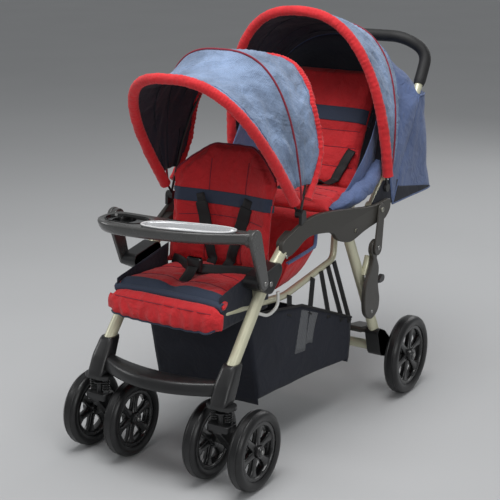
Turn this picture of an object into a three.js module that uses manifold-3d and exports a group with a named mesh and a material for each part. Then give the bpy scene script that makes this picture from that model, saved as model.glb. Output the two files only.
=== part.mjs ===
// Tandem twin stroller with two padded seats, two folding canopies, a child tray and a basket.
// Millimetres, +Z up. The stroller faces -Y and +X is the child's left.
// The origin is on the floor, below the middle of the stroller.
import * as THREE from 'three';
import { mergeVertices } from 'three/addons/utils/BufferGeometryUtils.js';
import Module from 'manifold-3d';

const wasm = await Module();
wasm.setup();

// Driving dimensions. Lengths along Y are measured back from the front wheel axles.
const frontAxleToMiddle = 443.5;
const wheelbase = 726;
const clearance = 0.3;
const overrun = 4;
const pinRadius = 5;
const pinPlay = 0.4;
const boltRadius = 6;

const frontWheel = { radius: 95, width: 38, rimRadius: 71, rimWidth: 25, hubRadius: 16, hubWidth: 40 };
const rearWheel = {
  radius: 107.5, width: 39, rimRadius: 82, rimWidth: 27, hubRadius: 18, hubWidth: 44, x: 274 };
const wheelDetail = { spokes: 6, spokeWidth: 15, ringWall: 9, tyreLip: 5, boreRadius: 5.4 };
const frontAxle = { radius: 5, overhang: 3 };

const caster = { x: 177, trail: 42, wheelOffset: 62, stemRadius: 8, stemRise: 26, stemDrop: 60 };
const casterPlate = { halfWidth: 38, halfDepth: 21, height: 9 };
const socketBottom = 212;
const springs = { offset: 18.6, meanRadius: 8, wireRadius: 1.7, curls: 5, travel: 12 };
const fork = { shoulder: 165, blockHeight: 16, blockDepth: 42, blockWidth: 62, bladeWidth: 26,
  bossRadius: 14 };

const legPivot = { x: 177.5, y: 140, z: 450, eyeRadius: 18, eyeWidth: 29 };
const legFoot = { x: 177.5, y: -20, z: 262 };
const frontLegRadius = 14;
const socket = { top: 294, width: 46, depth: 50, topY: 5, topX: 177.5, topWidth: 41, topDepth: 44,
  waist: 255, corner: 9 };
const footrest = { halfWidth: 165, bottom: 224, height: 32, frontY: -38, frontBulge: 55, backY: -4,
  backBulge: 30 };

const hub = { inner: 157, outer: 195.5, radius: 24, topY: 172, topZ: 474, topRadius: 19, slotRadius: 38,
  slotPlay: 1, lugRadius: 17 };
const stub = { radius: 14.5, footY: 172, footZ: 474, headY: 226, headZ: 515 };

const arm = { outer: 190, thickness: 12.5, frontY: 201, length: 449, bottom: 479.6, depth: 96.5,
  flare: 60 };
const armTip = { inner: 163, y: 230, z: 522, radius: 17, backY: 256, backZ: 532 };
const armTopShares = [[0.001, 0.389], [0.011, 0.562], [0.076, 0.708], [0.148, 0.849], [0.22, 0.947],
  [0.32, 1], [0.473, 0.954],
  [0.659, 0.856], [0.797, 0.777], [0.898, 0.781], [0.984, 0.832], [1, 0.761], [0.995, 0.533],
  [0.942, 0.297]];
const armBottomShares = [[0.859, 0.255], [0.748, 0.149], [0.64, 0], [0.573, 0.008], [0.494, 0.148],
  [0.452, 0.344],
  [0.4, 0.432], [0.273, 0.495], [0.198, 0.437], [0.127, 0.263], [0.067, 0.156], [0.013, 0.201]];

const rearLegPivot = { x: 199.5, y: 498, z: 503, eyeRadius: 17, eyeWidth: 28 };
const rearLeg = { footX: 218, radius: 14, footY: 650, footZ: 169.2 };
const rearBracket = { inner: 199, outer: 238, radius: 23, axleRadius: 15, rodRadius: 13,
  spindleRadius: 5 };
const crossTube = { radius: 13, y: 658, z: 140 };
const brake = { y: 634, z: 188, radius: 6, pedalX: 160, pedalWidth: 44, pedalLength: 72,
  pedalThickness: 9 };

const handlePivot = { y: 600, z: 539, eyeRadius: 16 };
const handle = { x: 216, radius: 11, kneeY: 866, kneeZ: 816, shoulderY: 917, shoulderZ: 908, barY: 896,
  barZ: 949 };
const handleBends = { knee: 60, shoulder: 33, corner: 36, cornerX: 160 };
const grip = { radius: 16, startShare: 0.6, sides: 8 };

const knee = { y: 585, z: 440, radius: 20, pinRadius: 5 };
const brace = { inner: 232.5, thickness: 12.5, linkGap: 0.5, upperThickness: 5.2, upperRadius: 16 };
const button = { z: 341, stemHeight: 8, stemWidth: 6.5, stemLength: 22, capRadius: 10, capLength: 20,
  width: 10, gap: 7 };

const seatTube = { radius: 9, flatRadius: 8.4, x: 141 };
const frontSeatFrame = { frontY: 6, frontZ: 404, dipY: 290, dipZ: 371, kickY: 540, kickZ: 404, topY: 552,
  bend: 24 };
const rearSeatFrame = { z: 528, frontY: 446, crossY: 520, backY: 640, bend: 22 };
const sidePlate = { thickness: 6, lowY: 146, lowZ: 389, lowRadius: 13, highY: 144, highZ: 450,
  highRadius: 16 };

const frontCushion = { halfWidth: 147, frontY: -3, backY: 203, z: 406.2, thickness: 38, crown: 0.25,
  taper: 0.1, arch: 46 };
const frontBack = { halfWidth: 152, y: 211, z: 434.5, length: 232, lean: 80, thickness: 30, crown: 0.2,
  arch: 84, hollow: 48 };
const calfPad = { halfWidth: 174, y: -9.4, z: 356, length: 73, lean: 82, thickness: 22, crown: 0.5 };
const rearCushion = { halfWidth: 176, frontY: 446, backY: 640, z: 537.4, thickness: 40, crown: 0.25 };
const rearBack = { halfWidth: 148, y: 651.2, z: 553.2, length: 339, lean: 62, thickness: 30, crown: 0.2,
  arch: 10 };
const footwell = { halfWidth: 148, frontY: 284, thickness: 9, topZ: 500, sag: 14 };
const padDetail = { edgePower: 5, edgeRound: 0.36, drawIn: 0.045, seamDepth: 5, seamWidth: 0.035 };

const frontHoops = { y: 282, z: 587, bowX: 183.3, bowRise: 422, bowLean: 127.4, midRise: 379, midLean: 98,
  hoopX: 190, hoopRise: 366, hoopLean: 70, frontSag: 44, rearSag: 6, lift: 4.5 };
const rearHoops = { y: 652, z: 585, bowX: 236, bowRise: 450, bowLean: 98.4, midRise: 424, midLean: 82,
  hemX: 230, hemRise: 410, hemLean: 65, frontSag: 7, rearSag: 7, lift: 3.7 };
const hoopTube = { radius: 3.1, eyeRadius: 11, eyeWidth: 6.2, frontPower: 2.8, rearPower: 2.5 };
const hoopClip = { halfDepth: 12, play: 0.8 };
const cover = { thickness: 5, startShare: 0.03 };

const boot = { x: 231, wall: 4.5, bottom: 520, top: 800, frontLowY: 700, frontTopY: 846, backLowY: 968,
  backTopY: 918 };
const bootCorner = { radius: 46, bulge: 14 };

const trayPivot = { y: 98, z: 463, radius: 16 };
const tray = { halfWidth: 200, frontY: -52, depth: 116, bottom: 565, height: 28 };
const trayArm = { thickness: 11, overlap: 8, shoulderY: 62, shoulderZ: 576, shoulderRadius: 23 };
const trayShares = [[0.98, 0.8], [0.78, 0.57], [0.56, 0.38], [0.3, 0.22], [0, 0.1], [-0.3, 0.03],
  [-0.58, 0], [-0.8, 0.09],
  [-0.93, 0.3], [-0.96, 0.6], [-0.92, 0.88], [-0.82, 0.97], [-0.5, 0.99], [0, 0.99], [0.5, 0.99],
  [0.8, 1], [0.95, 1.03], [1, 0.94]];
const dish = { x: 52, y: 14, halfX: 108, halfY: 32, slant: 0.24, wall: 3, depth: 17, power: 2.4 };
const cup = { x: -130, y: 12, radius: 33, depth: 16 };

const basket = { wall: 4, frontX: 150, frontTopY: 114, frontTopZ: 372, frontLowY: 165, frontLowZ: 124 };
const basketMid = { x: 170, topY: 333, topZ: 340, lowY: 405, lowZ: 120 };
const basketRear = { x: 189, topY: 561, topZ: 246, lowY: 550, lowZ: 121 };
const strap = { width: 20, thickness: 3, lowY: 425, highY: 442 };

// Finishes
const finish = (color, roughness, metalness = 0) =>
  new THREE.MeshStandardMaterial({ color, roughness, metalness });
const finishes = {
  creamPaint: finish(0xd5d3b4, 0.35, 0.3),
  greyPlastic: finish(0x45443f, 0.45),
  blackPlastic: finish(0x1c1c1e, 0.5),
  tyre: finish(0x232324, 0.75),
  steel: finish(0x9a9a98, 0.35, 0.9),
  springSteel: finish(0x1a1a1a, 0.4, 0.6),
  foam: finish(0x17171a, 0.85),
  redFabric: finish(0xc01f26, 0.85),
  blueFabric: finish(0x7f95b4, 0.85),
  denimFabric: finish(0x51618a, 0.85),
  navyFabric: finish(0x161a28, 0.9),
  dishPlastic: finish(0xc9ccd0, 0.15)
};

// Solid helpers
function bare(geometry) {
  const plain = geometry.clone();
  const extra = Object.keys(plain.attributes).filter(name => name !== 'position');
  extra.forEach(name => plain.deleteAttribute(name));
  return mergeVertices(plain, 1e-4);
}

function toSolid(geometry) {
  const merged = bare(geometry);
  return new wasm.Manifold(new wasm.Mesh({
    numProp: 3,
    vertProperties: new Float32Array(merged.attributes.position.array),
    triVerts: new Uint32Array(merged.index.array)
  }));
}

function toGeometry(solid) {
  const mesh = solid.getMesh();
  const geometry = new THREE.BufferGeometry();
  const places = new Float32Array(mesh.numVert * 3);
  for (let vertex = 0; vertex < mesh.numVert; vertex++) {
    for (let axis = 0; axis < 3; axis++) {
      places[vertex * 3 + axis] = mesh.vertProperties[vertex * mesh.numProp + axis];
    }
  }
  geometry.setAttribute('position', new THREE.BufferAttribute(places, 3));
  geometry.setIndex(Array.from(mesh.triVerts));
  return geometry;
}

function join(...geometries) {
  return toGeometry(geometries.map(toSolid).reduce((whole, piece) => whole.add(piece)));
}

function cutFrom(geometry, ...tools) {
  return toGeometry(tools.map(toSolid).reduce((whole, piece) => whole.subtract(piece),
    toSolid(geometry)));
}

function extrudeX(outline, low, high) {
  const shape = new THREE.Shape(outline.map(([y, z]) => new THREE.Vector2(y, z)));
  const geometry = new THREE.ExtrudeGeometry(shape, { depth: high - low, bevelEnabled: false, steps: 1 });
  const basis = new THREE.Matrix4().makeBasis(
    new THREE.Vector3(0, 1, 0), new THREE.Vector3(0, 0, 1), new THREE.Vector3(1, 0, 0));
  geometry.applyMatrix4(basis);
  geometry.translate(low, 0, 0);
  return geometry;
}

// A plate between two distances from the middle, on one side of the stroller
function sidePlateOf(outline, side, near, far) {
  return side > 0 ? extrudeX(outline, near, far) : extrudeX(outline, -far, -near);
}

function extrudeZ(outline, low, high) {
  const shape = new THREE.Shape(outline.map(([x, y]) => new THREE.Vector2(x, y)));
  const geometry = new THREE.ExtrudeGeometry(shape, { depth: high - low, bevelEnabled: false, steps: 1 });
  geometry.translate(0, 0, low);
  return geometry;
}

// The taut outline round a set of circles, given as [across, up, radius]
function beltRound(circles, count = 12) {
  const points = [];
  for (const [across, up, radius] of circles) {
    for (let step = 0; step < count; step++) {
      const turn = 2 * Math.PI * step / count;
      points.push([across + radius * Math.cos(turn), up + radius * Math.sin(turn)]);
    }
  }
  points.sort((one, other) => one[0] - other[0] || one[1] - other[1]);
  const cross = (o, a, b) => (a[0] - o[0]) * (b[1] - o[1]) - (a[1] - o[1]) * (b[0] - o[0]);
  const half = list => {
    const chain = [];
    for (const point of list) {
      while (chain.length > 1 && cross(chain[chain.length - 2], chain[chain.length - 1], point) <= 1e-6) {
        chain.pop();
      }
      chain.push(point);
    }
    chain.pop();
    return chain;
  };
  return [...half(points), ...half(points.slice().reverse())];
}

function smoothOutline(points, count) {
  const curve = new THREE.CatmullRomCurve3(points.map(([a, b]) => new THREE.Vector3(a, b, 0)), true,
    'centripetal');
  return curve.getPoints(count).slice(0, count).map(point => [point.x, point.y]);
}

function rodX(radius, low, high, y, z, sides = 16) {
  return new THREE.CylinderGeometry(radius, radius, high - low, sides, 1)
    .rotateZ(Math.PI / 2).translate((low + high) / 2, y, z);
}

function sideRod(radius, side, near, far, y, z, sides = 16) {
  return side > 0 ? rodX(radius, near, far, y, z, sides) : rodX(radius, -far, -near, y, z, sides);
}

function rodZ(radius, low, high, x, y, sides = 16) {
  return new THREE.CylinderGeometry(radius, radius, high - low, sides, 1)
    .rotateX(Math.PI / 2).translate(x, y, (low + high) / 2);
}

function block(lowX, highX, lowY, highY, lowZ, highZ) {
  return new THREE.BoxGeometry(highX - lowX, highY - lowY, highZ - lowZ)
    .translate((lowX + highX) / 2, (lowY + highY) / 2, (lowZ + highZ) / 2);
}

// A route through given stations, so that a tube gets one ring at each
class Route extends THREE.Curve {
  constructor(stations) {
    super();
    this.stations = stations;
  }

  getPoint(share, target = new THREE.Vector3()) {
    const last = this.stations.length - 1;
    const from = Math.min(Math.floor(share * last + 1e-9), last - 1);
    return target.lerpVectors(this.stations[from], this.stations[from + 1], share * last - from);
  }

  getPointAt(share, target) {
    return this.getPoint(share, target);
  }

  getTangentAt(share, target = new THREE.Vector3()) {
    const last = this.stations.length - 1;
    const here = Math.round(share * last);
    const arrived = Math.max(here, 1);
    const before = this.stations[arrived].clone().sub(this.stations[arrived - 1]).normalize();
    const next = Math.min(here, last - 1);
    const after = this.stations[next + 1].clone().sub(this.stations[next]).normalize();
    return target.addVectors(before, after).normalize();
  }
}

// Stations along straight runs, with a rounded bend at each inner corner
function bentStations(corners, bends, steps = 4) {
  const places = corners.map(corner => new THREE.Vector3(...corner));
  const stations = [places[0]];
  for (let index = 1; index < places.length - 1; index++) {
    const into = places[index - 1].clone().sub(places[index]).normalize();
    const out = places[index + 1].clone().sub(places[index]).normalize();
    const bend = Array.isArray(bends) ? bends[index - 1] : bends;
    const start = places[index].clone().addScaledVector(into, bend);
    const end = places[index].clone().addScaledVector(out, bend);
    const arc = new THREE.QuadraticBezierCurve3(start, places[index], end);
    stations.push(...arc.getPoints(steps));
  }
  stations.push(places[places.length - 1]);
  return stations;
}

function tube(stations, radius, sides = 8, bore = 0) {
  const shape = new THREE.Shape();
  const ring = size => Array.from({ length: sides }, (_, step) => {
    const turn = 2 * Math.PI * (step + 0.5) / sides;
    return new THREE.Vector2(size * Math.cos(turn), size * Math.sin(turn));
  });
  shape.setFromPoints(ring(radius));
  if (bore > 0) shape.holes.push(new THREE.Path(ring(bore)));
  const route = new Route(stations);
  return new THREE.ExtrudeGeometry(shape, { steps: stations.length - 1, extrudePath: route,
    bevelEnabled: false });
}

// A closed skin through rings of equal length, capped by flat fans
function loft(rings) {
  const places = [];
  const index = [];
  const size = rings[0].length;
  rings.forEach(ring => ring.forEach(point => places.push(...point)));
  for (let row = 0; row < rings.length - 1; row++) {
    for (let step = 0; step < size; step++) {
      const a = row * size + step;
      const b = row * size + (step + 1) % size;
      index.push(a, b, b + size, a, b + size, a + size);
    }
  }
  const caps = [[0, true], [rings.length - 1, false]];
  for (const [row, first] of caps) {
    const centre = places.length / 3;
    const middle = [0, 1, 2].map(axis => rings[row].reduce((sum, point) => sum + point[axis], 0) / size);
    places.push(...middle);
    for (let step = 0; step < size; step++) {
      const a = row * size + step;
      const b = row * size + (step + 1) % size;
      if (first) index.push(centre, b, a);
      else index.push(centre, a, b);
    }
  }
  return faced(places, index);
}

// Turns the faces outward if the volume comes out negative
function faced(places, index) {
  const geometry = new THREE.BufferGeometry();
  geometry.setAttribute('position', new THREE.Float32BufferAttribute(places, 3));
  let volume = 0;
  const corner = [new THREE.Vector3(), new THREE.Vector3(), new THREE.Vector3()];
  for (let face = 0; face < index.length; face += 3) {
    corner.forEach((point, order) => point.fromArray(places, index[face + order] * 3));
    volume += corner[0].dot(corner[1].clone().cross(corner[2]));
  }
  if (volume < 0) index.reverse();
  geometry.setIndex(index);
  return bare(geometry);
}

// A closed sheet between an outer and an inner grid of points
function shell(outer, inner) {
  const rows = outer.length;
  const columns = outer[0].length;
  const places = [];
  const index = [];
  for (const grid of [outer, inner]) grid.forEach(row => row.forEach(point => places.push(...point)));
  const layer = rows * columns;
  const quad = (a, b, c, d) => index.push(a, b, c, a, c, d);
  for (let row = 0; row < rows - 1; row++) {
    for (let column = 0; column < columns - 1; column++) {
      const a = row * columns + column;
      quad(a, a + 1, a + 1 + columns, a + columns);
      quad(layer + a, layer + a + columns, layer + a + 1 + columns, layer + a + 1);
    }
  }
  const rim = [];
  const lastRow = (rows - 1) * columns;
  for (let column = 0; column < columns - 1; column++) {
    rim.push([column + 1, column], [lastRow + column, lastRow + column + 1]);
  }
  for (let row = 0; row < rows - 1; row++) {
    rim.push([row * columns, (row + 1) * columns], [(row + 2) * columns - 1, (row + 1) * columns - 1]);
  }
  for (const [a, b] of rim) quad(a, b, layer + b, layer + a);
  return faced(places, index);
}

const spread = (low, high, share) => low + (high - low) * share;
const radians = degrees => THREE.MathUtils.degToRad(degrees);

// Wheels: a rubber tyre round a spoked plastic rim, centred on X
function tyreGeometry(wheel) {
  const inner = wheel.rimRadius + clearance;
  const half = wheel.width / 2;
  const shoulder = wheel.radius - wheelDetail.tyreLip;
  const profile = [[inner, -half + wheelDetail.tyreLip], [shoulder, -half],
    [wheel.radius, -half / 2], [wheel.radius, half / 2],
    [shoulder, half], [inner, half - wheelDetail.tyreLip], [inner, -half + wheelDetail.tyreLip]];
  const points = profile.map(([radius, along]) => new THREE.Vector2(radius, along));
  const geometry = new THREE.LatheGeometry(points, 24);
  return geometry.rotateZ(-Math.PI / 2);
}

function rimGeometry(wheel) {
  const shape = new THREE.Shape();
  const steps = 24;
  shape.setFromPoints(Array.from({ length: steps }, (_, step) => new THREE.Vector2(
    wheel.rimRadius * Math.cos(2 * Math.PI * step / steps),
    wheel.rimRadius * Math.sin(2 * Math.PI * step / steps))));
  const outer = wheel.rimRadius - wheelDetail.ringWall;
  const inner = wheel.hubRadius + wheelDetail.ringWall / 2;
  for (let spoke = 0; spoke < wheelDetail.spokes; spoke++) {
    const middle = 2 * Math.PI * spoke / wheelDetail.spokes;
    const halfTurn = radius => Math.PI / wheelDetail.spokes - wheelDetail.spokeWidth / 2 / radius;
    const edge = [];
    for (let step = -1; step <= 1; step += 2 / 3) edge.push([outer, middle + halfTurn(outer) * step]);
    edge.push([inner, middle + halfTurn(inner)], [inner, middle - halfTurn(inner)]);
    const points = edge.map(([radius, turn]) => new THREE.Vector2(radius * Math.cos(turn),
      radius * Math.sin(turn)));
    shape.holes.push(new THREE.Path(points));
  }
  const disc = new THREE.ExtrudeGeometry(shape, { depth: wheel.rimWidth, bevelEnabled: false });
  disc.translate(0, 0, -wheel.rimWidth / 2).rotateY(Math.PI / 2);
  const nave = rodX(wheel.hubRadius, -wheel.hubWidth / 2, wheel.hubWidth / 2, 0, 0, 12);
  const bore = rodX(wheelDetail.boreRadius, -wheel.hubWidth, wheel.hubWidth, 0, 0, 8);
  return cutFrom(join(disc, nave), bore);
}

// Front casters
function casterHousing(side) {
  const top = socketBottom - clearance;
  const bottom = top - casterPlate.height;
  const x = side * caster.x;
  const y = -caster.trail;
  const spreadX = casterPlate.halfWidth - casterPlate.halfDepth;
  const plate = extrudeZ(beltRound([[x - spreadX, y, casterPlate.halfDepth],
    [x + spreadX, y, casterPlate.halfDepth]]), bottom, top);
  const stem = rodZ(caster.stemRadius, bottom - caster.stemDrop, top + caster.stemRise, x, y, 12);
  return join(plate, stem);
}

function casterFork(side) {
  const x = side * caster.x;
  const y = -caster.trail;
  const low = fork.shoulder - fork.blockHeight;
  const head = block(x - fork.blockWidth / 2, x + fork.blockWidth / 2, y - fork.blockDepth / 2,
    y + fork.blockDepth / 2, low, fork.shoulder);
  const blade = extrudeX(beltRound([[y - fork.blockDepth / 4, fork.shoulder - fork.blockHeight,
    fork.blockDepth / 4],
    [y + fork.blockDepth / 4, fork.shoulder - fork.blockHeight, fork.blockDepth / 4],
    [0, frontWheel.radius, fork.bossRadius]], 12), x - fork.bladeWidth / 2, x + fork.bladeWidth / 2);
  const stemEnd = socketBottom - clearance - casterPlate.height - caster.stemDrop;
  const bore = rodZ(caster.stemRadius + pinPlay, stemEnd - springs.travel - overrun,
    fork.shoulder + overrun, x, y, 12);
  const axleBore = rodX(frontAxle.radius + pinPlay, x - fork.bladeWidth, x + fork.bladeWidth, 0,
    frontWheel.radius, 10);
  return cutFrom(join(head, blade), bore, axleBore);
}

function casterAxle(side) {
  const reach = caster.wheelOffset + frontWheel.hubWidth / 2 + frontAxle.overhang;
  const x = side * caster.x;
  return rodX(frontAxle.radius, x - reach, x + reach, 0, frontWheel.radius, 8);
}

// A helix of round wire whose ends run straight, square to the plates that hold them
const springStations = (side, offset) => {
  const x = side * caster.x + offset;
  const y = -caster.trail;
  const top = socketBottom - clearance - casterPlate.height - clearance;
  const bottom = fork.shoulder + clearance;
  const lead = 2 * springs.wireRadius;
  const perCurl = 8;
  const total = springs.curls * perCurl;
  const stations = [new THREE.Vector3(x + springs.meanRadius, y, bottom)];
  for (let step = 0; step <= total; step++) {
    const turn = 2 * Math.PI * step / perCurl;
    stations.push(new THREE.Vector3(x + springs.meanRadius * Math.cos(turn),
      y + springs.meanRadius * Math.sin(turn),
      spread(bottom + lead, top - lead, step / total)));
  }
  stations.push(new THREE.Vector3(x + springs.meanRadius, y, top));
  return stations;
};

function springLeastGap() {
  const stations = springStations(1, springs.offset);
  let least = Infinity;
  for (let one = 0; one < stations.length; one++) {
    for (let other = one + 5; other < stations.length; other++) {
      least = Math.min(least, stations[one].distanceTo(stations[other]));
    }
  }
  return least - 2 * springs.wireRadius;
}

function casterSpring(side, offset) {
  return tube(springStations(side, offset), springs.wireRadius, 5);
}

// Front legs and the moulded footrest that joins them
const legAxis = side => {
  const foot = new THREE.Vector3(side * legFoot.x, legFoot.y, legFoot.z);
  const head = new THREE.Vector3(side * legPivot.x, legPivot.y, legPivot.z);
  return [foot, head];
};

function rodBetween(start, end, radius, sides = 12) {
  return tube([start, start.clone().lerp(end, 0.5), end], radius, sides);
}

function frontLeg(side) {
  const [foot, head] = legAxis(side);
  const eye = sideRod(legPivot.eyeRadius, side, legPivot.x - legPivot.eyeWidth / 2,
    legPivot.x + legPivot.eyeWidth / 2, legPivot.y, legPivot.z, 18);
  const bore = sideRod(pinRadius + pinPlay, side, hub.inner, hub.outer, legPivot.y, legPivot.z, 10);
  return cutFrom(join(rodBetween(foot, head, frontLegRadius), eye), bore);
}

function roundedRing(x, y, z, width, depth, corner) {
  const ring = [];
  for (const [signX, signY, start] of [[1, 1, 0], [-1, 1, 1], [-1, -1, 2], [1, -1, 3]]) {
    for (let step = 0; step <= 2; step++) {
      const turn = Math.PI / 2 * (start + step / 2);
      ring.push([x + signX * (width / 2 - corner) + corner * Math.cos(turn),
        y + signY * (depth / 2 - corner) + corner * Math.sin(turn), z]);
    }
  }
  return ring;
}

function footrestGeometry() {
  const sockets = [1, -1].map(side => {
    const [foot, head] = legAxis(side);
    const body = loft([
      roundedRing(side * caster.x, -caster.trail, socketBottom, socket.width, socket.depth,
        socket.corner),
      roundedRing(side * legFoot.x, legFoot.y, socket.waist, socket.width, socket.depth, socket.corner),
      roundedRing(side * socket.topX, socket.topY, socket.top, socket.topWidth, socket.topDepth,
        socket.corner)]);
    const down = head.clone().sub(foot).normalize();
    const bore = rodBetween(foot.clone().addScaledVector(down, -clearance), head,
      frontLegRadius + clearance);
    const stemBore = rodZ(caster.stemRadius + pinPlay, socketBottom - overrun,
      socketBottom + caster.stemRise + clearance,
      side * caster.x, -caster.trail, 12);
    return { body, bore, stemBore };
  });
  const steps = 12;
  const outline = [];
  for (let step = 0; step <= steps; step++) {
    const share = spread(-1, 1, step / steps);
    outline.push([share * footrest.halfWidth,
      footrest.frontY - footrest.frontBulge * (1 - share * share)]);
  }
  for (let step = steps; step >= 0; step--) {
    const share = spread(-1, 1, step / steps);
    outline.push([share * footrest.halfWidth, footrest.backY - footrest.backBulge * (1 - share * share)]);
  }
  const bar = extrudeZ(outline, footrest.bottom, footrest.bottom + footrest.height);
  return cutFrom(join(bar, ...sockets.map(part => part.body)),
    ...sockets.flatMap(part => [part.bore, part.stemBore]));
}

// Side hubs, where the front legs fold, and the side arms above them
function hubGeometry(side) {
  const outline = beltRound([[legPivot.y, legPivot.z, hub.radius], [hub.topY, hub.topZ, hub.topRadius],
    [trayPivot.y, trayPivot.z, hub.lugRadius]], 14);
  const body = sidePlateOf(outline, side, hub.inner, hub.outer);
  const near = legPivot.x - legPivot.eyeWidth / 2 - hub.slotPlay;
  const far = legPivot.x + legPivot.eyeWidth / 2 + clearance;
  const slot = sideRod(hub.slotRadius, side, near, far, legPivot.y, legPivot.z, 20);
  const [foot, head] = stubAxis(side);
  const up = head.clone().sub(foot).normalize();
  const stubBore = rodBetween(foot.clone().addScaledVector(up, -clearance), head,
    stub.radius + clearance);
  const trayBore = sideRod(pinRadius + pinPlay, side, hub.outer - legPivot.eyeWidth / 4 - clearance,
    hub.outer + overrun, trayPivot.y, trayPivot.z, 10);
  const pin = sideRod(pinRadius, side, hub.inner + overrun / 2, hub.outer - overrun / 2, legPivot.y,
    legPivot.z, 10);
  return join(cutFrom(body, slot, stubBore, trayBore), pin);
}

const armOutline = smoothOutline([...armTopShares, ...armBottomShares].map(([along, up]) =>
  [arm.frontY + along * arm.length, arm.bottom + up * arm.depth]), 38);

// The arms run outward towards the back, so their faces lie further out the further back they are
const armOuterAt = y => arm.outer + arm.flare * (y - arm.frontY) / arm.length;
const armInnerAt = y => armOuterAt(y) - arm.thickness;

// The height of the arm's upper edge
function armTopAt(y) {
  let highest = arm.bottom;
  armOutline.forEach(([fromY, fromZ], order) => {
    const [toY, toZ] = armOutline[(order + 1) % armOutline.length];
    if ((fromY - y) * (toY - y) <= 0 && fromY !== toY) {
      highest = Math.max(highest, spread(fromZ, toZ, (y - fromY) / (toY - fromY)));
    }
  });
  return highest;
}

function stubAxis(side) {
  const foot = new THREE.Vector3(side * legPivot.x, stub.footY, stub.footZ);
  const head = new THREE.Vector3(side * legPivot.x, stub.headY, stub.headZ);
  return [foot, head];
}

function armGeometry(side) {
  const plate = sidePlateOf(armOutline, side, arm.outer - arm.thickness, arm.outer);
  const places = plate.attributes.position;
  for (let point = 0; point < places.count; point++) {
    places.setX(point, places.getX(point) + side * (armOuterAt(places.getY(point)) - arm.outer));
  }
  const tip = sidePlateOf(beltRound([[armTip.y, armTip.z, armTip.radius],
    [armTip.backY, armTip.backZ, armTip.radius]]),
    side, armTip.inner, arm.outer);
  const [foot, head] = stubAxis(side);
  const bores = [rearLegPivot, handlePivot].map(pivot =>
    sideRod(boltRadius + pinPlay, side, armInnerAt(pivot.y) - overrun, armOuterAt(pivot.y) + overrun,
      pivot.y, pivot.z, 12));
  return cutFrom(join(plate, tip, rodBetween(foot, head, stub.radius)), ...bores);
}

// Rear legs, brackets, cross tube and brake
const rearLegAxis = side => [
  new THREE.Vector3(side * rearLeg.footX, rearLeg.footY, rearLeg.footZ),
  new THREE.Vector3(side * rearLegPivot.x, rearLegPivot.y, rearLegPivot.z)];

function rearLegGeometry(side) {
  const [foot, head] = rearLegAxis(side);
  const { x, y, z, eyeRadius, eyeWidth } = rearLegPivot;
  const eye = sideRod(eyeRadius, side, x - eyeWidth / 2, x + eyeWidth / 2, y, z, 18);
  const bolt = sideRod(boltRadius, side, x, armOuterAt(y) + overrun / 2, y, z, 12);
  return join(rodBetween(foot, head, rearLeg.radius), eye, bolt);
}

function rearBracketGeometry(side) {
  const outline = beltRound([[rearLeg.footY, rearLeg.footZ, rearBracket.radius],
    [crossTube.y, crossTube.z, rearBracket.radius],
    [brake.y, brake.z, rearBracket.rodRadius],
    [wheelbase, rearWheel.radius, rearBracket.axleRadius]], 14);
  const body = sidePlateOf(outline, side, rearBracket.inner, rearBracket.outer);
  const spindle = sideRod(rearBracket.spindleRadius, side, rearBracket.outer - overrun,
    rearWheel.x + rearWheel.hubWidth / 2 - overrun / 2,
    wheelbase, rearWheel.radius, 8);
  const [foot, head] = rearLegAxis(side);
  const up = head.clone().sub(foot).normalize();
  const bore = rodBetween(foot.clone().addScaledVector(up, -clearance), head, rearLeg.radius + clearance);
  return join(cutFrom(body, bore), spindle);
}

function crossTubeGeometry() {
  const reach = rearBracket.inner - clearance;
  return rodX(crossTube.radius, -reach, reach, crossTube.y, crossTube.z, 14);
}

function brakeBar() {
  const reach = rearBracket.inner - clearance;
  const rod = rodX(brake.radius, -reach, reach, brake.y, brake.z, 10);
  const pedals = [1, -1].map(side => {
    const outline = beltRound([[brake.y, brake.z, brake.radius + overrun / 2],
      [brake.y + brake.pedalLength, brake.z - brake.pedalThickness, brake.pedalThickness / 2]], 12);
    return sidePlateOf(outline, side, brake.pedalX - brake.pedalWidth / 2,
      brake.pedalX + brake.pedalWidth / 2);
  });
  return join(rod, ...pedals);
}

// Handle
const handleStations = () => {
  const half = side => [
    [side * handle.x, handlePivot.y, handlePivot.z], [side * handle.x, handle.kneeY, handle.kneeZ],
    [side * handle.x, handle.shoulderY, handle.shoulderZ],
    [side * handleBends.cornerX, handle.barY, handle.barZ]];
  const corners = [...half(-1), ...half(1).reverse()];
  const bends = [handleBends.knee, handleBends.shoulder, handleBends.corner];
  return bentStations(corners, [...bends, ...bends.slice().reverse()], 2);
};

function handleTube() {
  const stations = handleStations();
  const eyes = [1, -1].flatMap(side => [
    sideRod(handlePivot.eyeRadius, side, handle.x - handle.radius, handle.x + handle.radius,
      handlePivot.y, handlePivot.z, 16),
    sideRod(hoopTube.eyeRadius, side, handle.x, handle.x + handle.radius, rearHoops.y, rearHoops.z, 14),
    sideRod(boltRadius, side, handle.x,
      brace.inner + brace.thickness + brace.linkGap + brace.upperThickness + overrun / 2,
      handlePivot.y, handlePivot.z, 12)]);
  return join(tube(stations, handle.radius, 8), ...eyes);
}

function handleGrip() {
  const stations = handleStations();
  const lowest = Math.max(spread(handlePivot.z, handle.barZ, grip.startShare), handle.kneeZ);
  const first = stations.findIndex(station => station.z > lowest);
  const covered = stations.slice(first, stations.length - first);
  const bore = (handle.radius + clearance * 3) / Math.cos(Math.PI / grip.sides);
  return tube(covered, grip.radius, grip.sides, bore);
}

// Folding brace between the handle pivot and the rear leg
const upperLinkInner = brace.inner + brace.thickness + brace.linkGap;

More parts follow.
